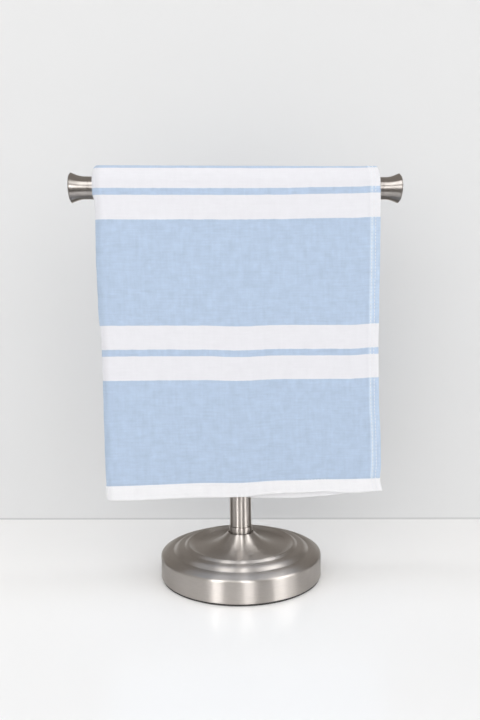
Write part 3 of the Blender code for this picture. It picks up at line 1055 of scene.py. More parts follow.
@dataclass
class DrapedTowel:
    """One cotton sheet, folded along its length and hung over the bar.

    Attributes:
        cotton: The striped finish.
        thread: The finish of its stitches.
        cloth: Thickness of the cloth.
        frame_cloth: Thickness of each layer in the frame, which sets the layers' places.
        hem_extra: How much thicker its hems are.
        hem_depth: Depth of the end hems.
        side_hem: Width of the side hems.
        hem_step: Where a hem's thicker part ends and how softly, from its inner edge.
        stitch_rows: Distances of the side hems' stitch rows from the edge.
        stitch_dent: Depth and half width of the dent along such a row.
        end_dent: Place, depth and half width of the dent along an end hem.
        edge_rounding: Distance over which the cloth's edge is rounded.
        stitch_pitch: Length of a stitch and the gap after it.
        stitch_share: The stitch's share of that length.
        thread_radius: Radius of the sewing thread.
        hem_level: Mean height of the front hem.
        crest_outer: Distance of the outer layer's middle from the bar's axis, over the bar.
        crest_slack: How far the stripes' outer face lies beyond the cloth's, over the bar.
        post_clearance: Gap between the bar's face and the inner layer, on the drops.
        layer_gap: Gap between the layers there.
        seat_gap: Gap between the bar and the inner layer, over the bar.
        settle: Depth over which the layers settle from the bar onto the drops.
        ripple_depth: Depth of the hems' small ripples.
        ripple_height: Height over which they fade.
        relief_seed: Seed of the cloth's small uneven relief.
        relief_waves: Number of its waves.
        relief_lengths: Their shortest and longest length, in mm.
        relief_share: Their height as a share of their length.
        outer_columns: Columns of the outer layer, its hem's apart.
        inner_columns: The same of the inner layer.
        turn_columns: Columns of the folded edge, its ends included.
        front_rows: Rows of the front drop above its hem.
        crest_rows: Rows over the bar.
        back_rows: Rows of the back drop above its hem.
    """

    cotton: StripedCotton
    thread: SewingThread
    cloth: float = 2.0 * MM
    frame_cloth: float = 2.4 * MM
    hem_extra: float = 0.6 * MM
    hem_depth: float = 13.0 * MM
    side_hem: float = 9.0 * MM
    hem_step: Point = (0.6 * MM, 0.9 * MM)
    stitch_rows: tuple[float, float] = (4.3 * MM, 7.4 * MM)
    stitch_dent: Point = (0.5 * MM, 0.6 * MM)
    end_dent: Triple = (2.9 * MM, 0.35 * MM, 0.7 * MM)
    edge_rounding: float = 1.3 * MM
    stitch_pitch: float = 2.8 * MM
    stitch_share: float = 0.82
    thread_radius: float = 0.28 * MM
    hem_level: float = 72.0 * MM
    crest_outer: float = 17.5 * MM
    crest_slack: float = 0.2 * MM
    post_clearance: float = 2.1 * MM
    layer_gap: float = 0.9 * MM
    seat_gap: float = 0.3 * MM
    settle: float = 34.0 * MM
    ripple_depth: float = 0.24 * MM
    ripple_height: float = 14.0 * MM
    relief_seed: int = 11
    relief_waves: int = 26
    relief_lengths: Point = (7.0, 22.0)
    relief_share: float = 0.0011
    outer_columns: int = 92
    inner_columns: int = 40
    turn_columns: int = 11
    front_rows: int = 122
    crest_rows: int = 37
    back_rows: int = 78

    def __post_init__(self) -> None:
        """Work out the bar's place and the layers' distances from it."""
        low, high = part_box("crossbar")
        bar_radius = (high.z - low.z) / 2
        stack = self.frame_cloth + self.hem_extra
        self.bar_height = bar_axis_height()
        self.crest_inner = bar_radius + self.seat_gap + stack / 2
        self.drop_inner = bar_radius + self.post_clearance + stack / 2
        self.drop_outer = self.drop_inner + stack + self.layer_gap
        self.columns = self.column_places()

    def column_places(self) -> np.ndarray:
        """Place the sheet's columns, close together at its side hems.

        Returns:
            Rows of layer and share.  Layer 0 is the outer one from its open edge (share 1) to
            the fold, 1 the turn of the fold, and 2 the inner one back to its open edge.
        """
        width = (FRONT.outline[0][2] - FRONT.outline[0][1]) * MM
        hem = 1.0 - np.array(HEM_COLUMNS) * MM / width
        outer, inner = (np.concatenate([hem, np.linspace(hem[-1], 0.0, count)[1:]])
                        for count in (self.outer_columns, self.inner_columns))
        turn = np.linspace(0.0, 1.0, self.turn_columns)[1:-1]
        layers = np.repeat([0.0, 1.0, 2.0], [len(outer), len(turn), len(inner)])
        return np.stack([layers, np.concatenate([outer, turn, inner[::-1]])])

    def reach(self, depth: np.ndarray) -> tuple[np.ndarray, np.ndarray]:
        """Return how far the layers hang from the bar's axis.

        Args:
            depth: Depths below the bar's axis.

        Returns:
            The inner layer's distances and the outer one's.
        """
        settled = smoothstep(depth / self.settle)
        inner = self.crest_inner + (self.drop_inner - self.crest_inner) * settled
        outer = self.crest_outer + (self.drop_outer - self.crest_outer) * settled
        return inner, outer

    def cross(self, drop: Drop, depth: np.ndarray) -> tuple[np.ndarray, np.ndarray]:
        """Return each column's place across and its distance from the bar's axis.

        Args:
            drop: The side of the towel.
            depth: Depths below the bar's axis, one for each column.

        Returns:
            The places and the distances.
        """
        layer, share = self.columns
        left = read_table(drop.outline, depth, 1)
        right = read_table(drop.outline, depth, 2)
        inner, outer = self.reach(depth)
        half_turn = (outer - inner) / 2
        left = left + half_turn + self.frame_cloth / 2
        angle = math.pi * share
        in_turn = layer == 1
        x = np.where(in_turn, left - half_turn * np.sin(angle), left + (right - left) * share)
        flat = np.where(layer == 0, outer, inner)
        reach = np.where(in_turn, (inner + outer) / 2 + half_turn * np.cos(angle), flat)
        return x, reach + drop.swell(x, np.maximum(depth, 0.0))

    def hem_height(self, drop: Drop, x: np.ndarray) -> np.ndarray:
        """Return the height of the lower edge at each column.

        Args:
            drop: The side of the towel.
            x: Places across the towel.

        Returns:
            The heights.
        """
        layer, share = self.columns
        outer = read_table(drop.outer_hem, x, 1)
        inner = read_table(drop.inner_hem, x, 1)
        toward = np.where(layer == 0, 0.0, np.where(layer == 2, 1.0, share))
        return outer + (inner - outer) * toward

    def drop_row(self, drop: Drop, share: float) -> np.ndarray:
        """Return one row of the middle surface of a drop.

        Args:
            drop: The side of the towel.
            share: How far down it is, 0 at the bar's axis and 1 at the lower edge.

        Returns:
            Points (x, y, z), one for each column.
        """
        nominal = np.full(self.columns.shape[1], drop.longest() * share)
        x, _ = self.cross(drop, nominal)
        length = self.bar_height - self.hem_height(drop, x)
        depth = length * share
        x, reach = self.cross(drop, depth)
        to_hem = length - depth
        reach = reach + self.ripple(x) * np.exp(-(to_hem / self.ripple_height) ** 2)
        return np.stack([x, drop.facing * reach, self.bar_height - depth], axis=-1)

    def ripple(self, x: np.ndarray) -> np.ndarray:
        """Return the small upright ripples that the hem's sewing draws into its edge.

        Args:
            x: Places across the towel.

        Returns:
            The push outwards at each place.
        """
        wave = np.zeros_like(x)
        for share, length, start in RIPPLES:
            wave += share * np.sin(x / (length * MM) + start)
        return self.ripple_depth * wave * (0.6 + 0.4 * np.sin(x / (21.0 * MM) + 0.4))

    def crest_row(self, angle: float) -> np.ndarray:
        """Return one row of the middle surface over the bar.

        Args:
            angle: Where it lies, 0 in front of the bar and pi behind it.

        Returns:
            Points (x, y, z), one for each column.
        """
        x, reach = self.cross(FRONT, np.zeros(self.columns.shape[1]))
        height = self.bar_height + reach * math.sin(angle)
        return np.stack([x, -reach * math.cos(angle), height], axis=-1)

    def down_shares(self, drop: Drop, steps: int) -> np.ndarray:
        """Return places down a drop, close together at the hem.

        Args:
            drop: The side of the towel.
            steps: Number of rows above the hem.

        Returns:
            The places, from just under the bar's axis to the lower edge (1).
        """
        hem = 1.0 - np.array(HEM_ROWS) * MM / drop.longest()
        return np.concatenate([np.linspace(0.0, hem[0], steps + 1)[1:-1], hem])

    def pattern_along(self, middle: np.ndarray, crest: slice) -> np.ndarray:
        """Return each point's place along the woven pattern, from the front hem.

        Args:
            middle: The middle surface, rows by columns.
            crest: The rows over the bar.

        Returns:
            The places in metres.
        """
        x = middle[..., 0]
        z = middle[..., 2]
        edge = STRIPE_LIFT[-1][0] * MM
        at_hem, at_low, at_high = (read_table(STRIPE_LIFT, np.clip(x, -edge, edge), column)
                                   for column in (1, 2, 3))
        low, mid, high = LIFT_HEIGHTS
        lower = at_hem + (at_low - at_hem) * smoothstep((z - low) / (mid - low))
        upper = at_low + (at_high - at_low) * smoothstep((z - mid) / (high - mid))
        along = z - self.hem_level - np.where(z > mid, upper, lower)
        start = crest.start
        steps = np.linalg.norm(np.diff(middle[start:], axis=0), axis=-1)
        surface = np.hypot(middle[start, :, 1], middle[start, :, 2] - self.bar_height)
        grow = (surface + self.cloth / 2 + self.crest_slack) / surface
        steps[:crest.stop - start - 1] *= grow
        along[start + 1:] = along[start] + np.cumsum(steps, axis=0)
        last = crest.stop - 1
        stretch = (self.cotton.length() - along[last]) / (along[-1] - along[last])
        along[last + 1:] = along[last] + (along[last + 1:] - along[last]) * stretch
        return along

    def relief(self, across: np.ndarray, along: np.ndarray) -> np.ndarray:
        """Return the cloth's small uneven relief.

        Args:
            across: Places across the sheet.
            along: Places along it.

        Returns:
            Heights in metres, within about a fifth of a millimetre.
        """
        dice = np.random.default_rng(self.relief_seed)
        height = np.zeros_like(across)
        for _ in range(self.relief_waves):
            wave = dice.uniform(*self.relief_lengths) * MM
            turn = dice.uniform(0.0, math.pi)
            phase = dice.uniform(0.0, math.tau)
            path = across * math.cos(turn) + along * math.sin(turn)
            height += np.sin(math.tau * path / wave + phase) * wave
        return height * self.relief_share

    def surfaces(self) -> dict[str, np.ndarray]:
        """Work out the sheet's middle, its two faces and its pattern.

        Returns:
            Arrays, rows by columns, under middle, outside, inside, across, along and normal.
        """
        front_shares = self.down_shares(FRONT, self.front_rows)[::-1]
        back_shares = self.down_shares(BACK, self.back_rows)
        front = [self.drop_row(FRONT, share) for share in front_shares]
        crest = [self.crest_row(angle) for angle in np.linspace(0.0, math.pi, self.crest_rows)]
        back = [self.drop_row(BACK, share) for share in back_shares]
        middle = np.array(front + crest + back)
        along = self.pattern_along(middle, slice(len(front), len(front) + len(crest)))
        steps = np.linalg.norm(np.diff(middle, axis=1), axis=-1).mean(axis=0)
        across = np.broadcast_to(np.concatenate([[0.0], np.cumsum(steps)]), along.shape)
        normal = np.cross(np.gradient(middle, axis=0), np.gradient(middle, axis=1))
        normal /= np.linalg.norm(normal, axis=-1, keepdims=True)
        middle = middle + normal * self.relief(across, along)[..., None]
        half = self.thickness(across, along)[..., None] / 2
        return {"middle": middle, "outside": middle + normal * half, "inside": middle - normal * half,
                "across": across, "along": along, "normal": normal}

    def thickness(self, across: np.ndarray, along: np.ndarray) -> np.ndarray:
        """Return the cloth's thickness, with its hems, stitch lines and rounded edges.

        Args:
            across: Places across the sheet.
            along: Places along it.

        Returns:
            The thickness at each place.
        """
        inset, slope = self.hem_step
        dent, dent_width = self.stitch_dent
        end_place, end_dent, end_width = self.end_dent
        to_side = np.minimum(across, across[:, -1:] - across)
        ends = np.minimum(along - along[:1], along[-1:] - along)
        in_side = 1.0 - smoothstep((to_side - self.side_hem + inset) / slope)
        in_end = 1.0 - smoothstep((ends - self.hem_depth + inset) / slope)
        thick = self.cloth + self.hem_extra * np.maximum(in_side, in_end)
        for row in self.stitch_rows:
            thick = thick - dent * np.exp(-((to_side - row) / dent_width) ** 2)
        thick = thick - end_dent * np.exp(-((ends - end_place) / end_width) ** 2) * in_end
        rounding = np.clip(np.minimum(to_side, ends) / self.edge_rounding, 0.0, 1.0)
        return thick * (0.3 + 0.7 * np.sqrt(1.0 - (1.0 - rounding) ** 2))

    def sheet_mesh(self, parts: dict[str, np.ndarray]) -> bpy.types.Mesh:
        """Build the closed cloth from its two faces.

        Args:
            parts: What surfaces() worked out.

        Returns:
            The mesh, with the place on the cloth as an attribute.
        """
        rows, columns = parts["along"].shape
        count = rows * columns
        number = np.arange(count).reshape(rows, columns)
        quads = np.stack([number[:-1, :-1], number[:-1, 1:], number[1:, 1:], number[1:, :-1]], axis=-1)
        quads = quads.reshape(-1, 4)
        rim = np.concatenate([number[0, :-1], number[:-1, -1], number[-1, :0:-1], number[:0:-1, 0]])
        after = np.roll(rim, -1)
        wall = np.stack([rim, after, after + count, rim + count], axis=-1)
        faces = np.concatenate([quads[:, ::-1], quads + count, wall])
        points = np.concatenate([parts["outside"].reshape(-1, 3), parts["inside"].reshape(-1, 3)])
        mesh = bpy.data.meshes.new("towel_cloth")
        mesh.from_pydata(points.tolist(), [], faces.tolist())
        place = np.stack([parts["across"], parts["along"], np.zeros_like(parts["along"])], axis=-1)
        place = np.concatenate([place.reshape(-1, 3)] * 2)
        stored = mesh.attributes.new(PLACE, "FLOAT_VECTOR", "POINT")
        stored.data.foreach_set("vector", place.astype(np.float32).ravel())
        point_outwards(mesh)
        mesh.shade_smooth()
        return mesh

    def stitch_paths(self, parts: dict[str, np.ndarray]) -> list[np.ndarray]:
        """Return the lines that the stitches follow, on the cloth's outer face.

        Args:
            parts: What surfaces() worked out.

        Returns:
            One array of points for each row of stitches.
        """
        surface = parts["outside"] + parts["normal"] * self.thread_radius * 0.5
        across = parts["across"][0]
        paths = []
        for distance in (*self.stitch_rows, *(across[-1] - row for row in self.stitch_rows)):
            high = int(np.searchsorted(across, distance))
            share = (distance - across[high - 1]) / (across[high] - across[high - 1])
            line = surface[:, high - 1] * (1.0 - share) + surface[:, high] * share
            paths.append(line[2:-2])
        from_end = len(HEM_ROWS) - 1 - HEM_ROWS.index(SEAM_ROW)
        return paths + [surface[from_end, 2:-2], surface[-1 - from_end, 2:-2]]

    def build(self, weave: bpy.types.NodeTree) -> bpy.types.Object:
        """Build and dress the cloth and its stitches.

        Args:
            weave: The group of woven threads.

        Returns:
            The cloth's object.
        """
        parts = self.surfaces()
        width = float(parts["across"][0, -1])
        cotton = self.cotton.material("striped_cotton", weave, width, self.side_hem)
        cloth = new_piece("hammam_towel", self.sheet_mesh(parts), cotton)
        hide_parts("towel")
        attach(cloth, BODY)
        sizes = {"Pitch": self.stitch_pitch, "Thread": self.thread_radius, "Share": self.stitch_share}
        stitches = sew(self.stitch_paths(parts), sizes, self.thread.material("sewing_thread"))
        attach(stitches, BODY)
        LOG.info("stitches: %d faces", len(stitches.data.polygons))
        return cloth


def point_outwards(mesh: bpy.types.Mesh) -> None:
    """Turn a closed mesh's faces outwards.

    Args:
        mesh: The mesh, changed in place.
    """
    shell = bmesh.new()
    shell.from_mesh(mesh)
    bmesh.ops.recalc_face_normals(shell, faces=shell.faces)
    shell.to_mesh(mesh)
    shell.free()


def stitch_tree(sizes: dict[str, float], material: bpy.types.Material) -> bpy.types.NodeTree:
    """Geometry Nodes that lay stitches end to end along the mesh's edges.

    Args:
        sizes: The pitch, the thread's radius and the stitch's share of the pitch, by name.
        material: The thread's material.

    Returns:
        The tree, with the sizes as inputs Pitch, Thread and Share.
    """
    tree = bpy.data.node_groups.new("stitch_rows", "GeometryNodeTree")
    for side in ("INPUT", "OUTPUT"):
        tree.interface.new_socket(name="Geometry", in_out=side, socket_type="NodeSocketGeometry")
    for name, value in sizes.items():
        socket = tree.interface.new_socket(name=name, in_out="INPUT", socket_type="NodeSocketFloat")
        socket.default_value = value
    graph = Graph(tree)
    given = graph.node("NodeGroupInput").outputs
    curve = graph.node("GeometryNodeMeshToCurve", {0: given["Geometry"]}).outputs[0]
    points = graph.node("GeometryNodeResampleCurve", {"Curve": curve, "Length": given["Pitch"]},
                        mode="LENGTH").outputs[0]
    tangent = graph.node("GeometryNodeInputTangent").outputs[0]
    turned = graph.node("FunctionNodeAlignRotationToVector", {"Vector": tangent}, axis="Z").outputs[0]
    ball = graph.node("GeometryNodeMeshUVSphere", {"Segments": 6, "Rings": 5, "Radius": 1.0}).outputs[0]
    half = graph.math("MULTIPLY", graph.math("MULTIPLY", given["Pitch"], given["Share"]), 0.5)
    laid = graph.node("GeometryNodeInstanceOnPoints", {
        "Points": points,
        "Instance": ball,
        "Rotation": turned,
        "Scale": graph.vector(given["Thread"], given["Thread"], half),
    })
    real = graph.node("GeometryNodeRealizeInstances", {0: laid.outputs[0]}).outputs[0]
    dressed = graph.node("GeometryNodeSetMaterial", {"Geometry": real, "Material": material})
    graph.node("NodeGroupOutput", {0: dressed.outputs[0]})
    return tree


def sew(paths: list[np.ndarray], sizes: dict[str, float],
        material: bpy.types.Material) -> bpy.types.Object:
    """Lay rows of stitches along paths and return them as one plain mesh.

    Args:
        paths: One array of points for each row.
        sizes: The pitch, the thread's radius and the stitch's share of the pitch, by name.
        material: The thread's material.

    Returns:
        The stitches' object.
    """
    edges = []
    start = 0
    for path in paths:
        edges += [(start + step, start + step + 1) for step in range(len(path) - 1)]
        start += len(path)
    guide_mesh = bpy.data.meshes.new("stitch_guide")
    guide_mesh.from_pydata(np.concatenate(paths).tolist(), edges, [])
    guide = bpy.data.objects.new("stitch_guide", guide_mesh)
    bpy.context.scene.collection.objects.link(guide)
    modifier = guide.modifiers.new("stitches", "NODES")
    modifier.node_group = stitch_tree(sizes, material)
    for item in modifier.node_group.interface.items_tree:
        if item.in_out == "INPUT" and item.name in sizes:
            modifier[item.identifier] = sizes[item.name]
    graph = bpy.context.evaluated_depsgraph_get()
    mesh = bpy.data.meshes.new_from_object(guide.evaluated_get(graph))
    bpy.data.objects.remove(guide, do_unlink=True)
    mesh.name = "towel_stitches"
    mesh.shade_smooth()
    return new_piece("towel_stitches", mesh, material)


# ---------------------------------------------------------------------------- studio
@dataclass(frozen=True)
class SoftLight:
    """One soft area light that lights the cloth, the table and the wall.

    Attributes:
        name: Its name.
        place: Where it stands.
        size: Its width and height.
        power: Its power in watts.
        target: What it faces.
    """

    name: str
    place: Triple
    size: Point
    power: float
    target: Triple = (0.0, 0.0, 0.15)

    def build(self) -> None:
        """Add the light to the scene."""
        light = bpy.data.lights.new(self.name, "AREA")
        light.shape = "RECTANGLE"
        light.size, light.size_y = self.size
        light.energy = self.power
        item = bpy.data.objects.new(self.name, light)
        item.location = self.place
        facing = Vector(self.target) - Vector(self.place)
        item.rotation_euler = facing.to_track_quat("-Z", "Y").to_euler()
        item.visible_camera = False
        item.visible_glossy = False
        bpy.context.scene.collection.objects.link(item)


@dataclass(frozen=True)
class Reflector:
    """A bright upright panel far off, which only the metal's reflections show.

    Attributes:
        azimuth: Direction of its lower part in degrees, 0 in front, positive to the right.
        upper_azimuth: Direction of its upper part, which leans outwards.
        half_width: Half its width in degrees.
        low: Brightness of its lower part.
        high: Brightness of its upper part.
        soft: Softness of its edges in degrees.
    """

    azimuth: float
    upper_azimuth: float
    half_width: float
    low: float
    high: float
    soft: float = 3.0

    def part(self, graph: Graph, direction: Any, middle: float, glow: float) -> Any:
        """Return the brightness of one part, by the direction looked in.

        Args:
            graph: The world's graph.
            direction: The azimuth looked in, in radians.
            middle: The part's azimuth in degrees.
            glow: Its brightness.

        Returns:
            The brightness, 0 beside the panel.
        """
        offset = graph.math("SUBTRACT", direction, math.radians(middle))
        offset = graph.math("ABSOLUTE", graph.math("WRAP", offset, math.pi, -math.pi))
        edges = (self.half_width - self.soft, self.half_width + self.soft)
        return graph.sweep(offset, edges, glow, 0.0)


def upright_sheet(left: Point, right: Point, low: float, high: float) -> list[Triple]:
    """Return the corners of an upright sheet over two places, anticlockwise from the front."""
    return [(*left, low), (*right, low), (*right, high), (*left, high)]


def one_quad(name: str, corners: list[Triple]) -> bpy.types.Mesh:
    """Make a mesh of one face.

    Args:
        name: The mesh's name.
        corners: Its four corners, anticlockwise from the side that shows.

    Returns:
        The mesh.
    """
    mesh = bpy.data.meshes.new(name)
    mesh.from_pydata(corners, [], [(0, 1, 2, 3)])
    return mesh


@dataclass
class Studio:
    """Pale table, plain wall, soft lights and the camera.

    What only the metal's reflections show is the dim part of the table, the dim cards and the
    bright and dark parts of the room.  Angles are in degrees; azimuths are 0 in front of the
    stand and 180 behind it.

    Attributes:
        half_stage: Half the width of the table and the wall.
        table_edge: Where the table ends and the wall starts, behind the stand.
        edge_turn: How far that edge is turned from the crossbar.
        wall_gap: Distance of the wall behind the table's edge.
        wall_low: How far the wall reaches below the table.
        shadow_line: Height of the painted shadow line at the wall's foot.
        shadow_line_colour: Colour of that painted shadow line.
        table_colour: Colour of the table in front.
        table_back_painted_light: Colour of the table behind the stand, paler as painted light.
        painted_light_turns: Where it goes from one colour to the other, front to back, as painted
            light.
        table_gloss: Roughness of the table.
        wall_roughness: Roughness of the wall.
        table_front: How far in front of the stand the table is dim in reflections.
        table_dim: Its colour in reflections where it is dim.
        dim_across: Middle and half width of the dim part on each side of the stand.
        dim_along: Middle and half depth of these parts.
        wall_colour: Colour of the wall.
        ambient: Brightness of the room's even light.
        backdrop: Brightness behind the table where no wall stands.
        panel_low: Lower edge of the reflectors.
        panel_high: Upper edge of their lower parts.
        broad_low: Lower edge of their upper parts.
        broad_high: Upper edge of these.
        edge_soft: Softness of all these edges.
        near_sides: Azimuths at which the glow between the lower parts starts and has faded.
        wide_sides: The same between the upper parts.
        broad_glow: Brightness between the upper parts.
        room_glow: Brightness between the lower parts.
        room_dark: Brightness of the rest of the room in front.
        rear_dark: Brightness of the rest of the room behind.
        rear_sides: Azimuths at which the room starts to be as behind, and is.
        rear_glow: Brightness of the wall behind.
        rear_wall: Azimuths between which that wall starts.
        rear_high: Its upper edge.
        rear_low: Its lower edge.
        rear_soft: Softness of these two edges, in radians.
        rear_shade: Brightness of the dark parts over and under it.
        shade_sides: Azimuths between which the part over it starts.
        shade_low: Heights between which that part starts.
        floor_sides: Azimuths between which the part under it starts.
        flag_height: Height of the cards over the bar's ends.
        flag_across: Distance of their middles from the post.
        flag_reach: Half their width, and their front and back edges.
        flag_glow: Their brightness.
        tent_card: Half width, lower and upper edge of the painted-shade card inside the towel.
        tent_glow: Its brightness.
        card_tint: Colour of the light that the cards glow with, as painted reflections.
        reflectors: The bright panels.
        lights: The soft lights.
        camera_place: Where the camera stands.
        yaw: How far it looks to the right of +Y.
        pitch: How far it looks down.
        roll: How far it is tilted.
        focal_pixels: Its focal length in pixels of the 480 by 720 image.
    """

    half_stage: float = 2.5
    table_edge: float = 0.155
    edge_turn: float = -5.0
    wall_gap: float = 3.5 * MM
    wall_low: float = 0.4
    shadow_line: float = 1.0 * MM
    shadow_line_colour: Colour = (0.56, 0.56, 0.56)
    table_colour: Colour = (0.92, 0.917, 0.912)
    table_back_painted_light: Colour = (1.0, 0.996, 0.99)
    painted_light_turns: Point = (-0.2, -0.02)
    table_gloss: float = 0.24
    wall_roughness: float = 0.9
    table_front: float = 0.3
    table_dim: Colour = (0.1, 0.09, 0.08)
    dim_across: Point = (0.345, 0.255)
    dim_along: Point = (0.0725, 0.0475)
    wall_colour: Colour = (0.71, 0.71, 0.71)
    ambient: float = 0.91
    backdrop: Colour = (0.74, 0.74, 0.74)
    panel_low: float = -19.0
    panel_high: float = 12.0
    broad_low: float = 19.0
    broad_high: float = 79.0
    edge_soft: float = 2.2
    near_sides: Point = (62.0, 98.0)
    wide_sides: Point = (75.0, 150.0)
    broad_glow: Colour = (0.65, 0.64, 0.62)
    room_glow: Colour = (0.27, 0.25, 0.23)
    room_dark: Colour = (0.19, 0.173, 0.157)
    rear_dark: Colour = (0.37, 0.345, 0.32)
    rear_sides: Point = (110.0, 150.0)
    rear_glow: Colour = (0.8, 0.79, 0.77)
    rear_wall: Point = (128.0, 142.0)
    rear_high: float = 8.0
    rear_low: float = -25.0
    rear_soft: float = 0.1
    rear_shade: Colour = (0.16, 0.145, 0.13)
    shade_sides: Point = (164.0, 174.0)
    shade_low: Point = (24.0, 32.0)
    floor_sides: Point = (110.0, 130.0)
    flag_height: float = 0.376
    flag_across: float = 0.135
    flag_reach: Triple = (0.06, -0.037, 0.03)
    flag_glow: float = 0.36
    tent_card: Triple = (0.115, 0.08, 0.32)
    tent_glow: float = 0.2
    card_tint: Colour = (1.0, 0.93, 0.86)
    reflectors: tuple[Reflector, ...] = (
        Reflector(-68.0, -68.0, 24.0, 0.35, 0.15),
        Reflector(-35.3, -42.0, 6.5, 7.8, 5.4),
        Reflector(-14.0, -16.0, 17.0, 0.0, 1.0),
        Reflector(8.0, 5.0, 7.0, 5.2, 4.5),
        Reflector(49.5, 70.0, 8.8, 7.6, 6.2),
    )
    lights: tuple[SoftLight, ...] = (
        SoftLight("key", (-0.75, -1.4, 0.56), (1.3, 1.2), 5.6),
        SoftLight("fill", (1.0, -1.35, 0.5), (1.3, 1.2), 3.95),
        SoftLight("overhead", (0.0, 0.4, 1.4), (1.8, 0.9), 13.0, (0.0, 0.0, 0.0)),
    )
    camera_place: Triple = (-0.0294, -0.5491, 0.2162)
    yaw: float = 3.163
    pitch: float = 2.886
    roll: float = -0.62
    focal_pixels: float = 631.1

    def plain_sheet(self, name: str, corners: list[Triple], colour: Colour,
                    roughness: float) -> bpy.types.Object:
        """Add a flat stage sheet that can be seen through from behind.

        Args:
            name: Its name.
            corners: Its four corners, anticlockwise from the side that shows.
            colour: Its colour.
            roughness: Its roughness.

        Returns:
            The sheet's object.
        """
        made, graph, shader = new_material(name)
        graph.feed_all(shader, {"Base Color": colour, "Roughness": roughness})
        nodes = graph.tree.nodes
        clear = graph.node("ShaderNodeBsdfTransparent").outputs[0]
        behind = graph.node("ShaderNodeNewGeometry").outputs["Backfacing"]
        front = nodes["Principled BSDF"].outputs[0]
        mixed = graph.node("ShaderNodeMixShader", {0: behind, 1: front, 2: clear})
        graph.feed(nodes["Material Output"].inputs["Surface"], mixed.outputs[0])
        sheet = new_piece(name, one_quad(name, corners), made)
        return sheet

    def table_shade(self, graph: Graph) -> Any:
        """Return the table's colour: painted light paler behind the stand, dim in parts of its
        reflection.

        Args:
            graph: The table's graph.

        Returns:
            The colour's output.
        """
        x, y, _ = graph.parts(graph.node("ShaderNodeTexCoord").outputs["Object"])
        # Painted light: the table grows paler from the front towards the wall.
        shade = graph.mix(graph.ramp(y, *self.painted_light_turns), self.table_colour, self.table_back_painted_light)
        beside = graph.math("COMPARE", graph.math("ABSOLUTE", x), *self.dim_across)
        beside = graph.math("MULTIPLY", beside, graph.math("COMPARE", y, *self.dim_along))
        dim = graph.math("MAXIMUM", beside, graph.math("LESS_THAN", y, -self.table_front))
        glossy = graph.node("ShaderNodeLightPath").outputs["Is Glossy Ray"]
        return graph.mix(graph.math("MULTIPLY", dim, glossy), shade, self.table_dim)

    def build_stage(self) -> None:
        """Add the table, the wall with a painted shadow line at its foot, and the dim cards."""
        half = self.half_stage
        slant = half * math.tan(math.radians(self.edge_turn))
        left = self.table_edge - slant
        right = self.table_edge + slant
        corners = [(-half, -half, 0.0), (half, -half, 0.0), (half, right, 0.0), (-half, left, 0.0)]
        table = self.plain_sheet("table_top", corners, self.table_colour, self.table_gloss)
        graph = Graph(table.active_material.node_tree)
        graph.feed(graph.tree.nodes["Principled BSDF"].inputs["Base Color"], self.table_shade(graph))
        line_gap = self.wall_gap - 0.3 * MM
        # The second sheet is a grey strip at the wall's foot: painted shadow where the table meets the
        # wall.
        for name, low, high, gap, colour in (
            ("wall", -self.wall_low, half, self.wall_gap, self.wall_colour),
            ("wall_foot_shadow", -10.0 * MM, self.shadow_line, line_gap, self.shadow_line_colour),
        ):
            corners = upright_sheet((-half, left + gap), (half, right + gap), low, high)
            sheet = self.plain_sheet(name, corners, colour, self.wall_roughness)
            sheet.visible_glossy = False
        # Dim glowing cards over the bar's ends: painted reflections in the metal.
        reach, front, back = self.flag_reach
        for word, middle in (("left", -self.flag_across), ("right", self.flag_across)):
            edges = ((-reach, front), (reach, front), (reach, back), (-reach, back))
            corners = [(middle + x, y, self.flag_height) for x, y in edges]
            self.build_card(f"end_flag_{word}", corners, self.flag_glow)
        # Dim card inside the towel: painted shade of its inside in the metal's reflections.
        across, low, high = self.tent_card
        corners = upright_sheet((-across, 0.0), (across, 0.0), low, high)
        self.build_card("tent_shade", corners, self.tent_glow)

    def build_card(self, name: str, corners: list[Triple], glow: float) -> None:
        """Add a dimly glowing card that only the metal's reflections show: a painted reflection.

        Args:
            name: The card's name.
            corners: Its four corners.
            glow: Its brightness.
        """
        made, graph, shader = new_material(name)
        graph.feed_all(shader, {
            "Base Color": (0.0, 0.0, 0.0),
            "Specular IOR Level": 0.0,
            "Emission Color": self.card_tint,
            "Emission Strength": glow,
        })
        card = new_piece(name, one_quad(name, corners), made)
        for ray in ("camera", "diffuse", "transmission", "shadow"):
            setattr(card, f"visible_{ray}", False)

    def between(self, graph: Graph, angle: Any, low: float, high: float) -> Any:
        """Return a mask that is 1 while an angle lies between two others.

        Args:
            graph: The graph that the nodes go into.
            angle: The angle's output, in radians.
            low: The lower angle in degrees.
            high: The higher angle in degrees.

        Returns:
            The mask, with edges a few degrees soft.
        """
        soft = math.radians(self.edge_soft)
        start = graph.step(angle, math.radians(low), soft)
        end = graph.step(angle, math.radians(high), soft, 1.0, 0.0)
        return graph.math("MULTIPLY", start, end)

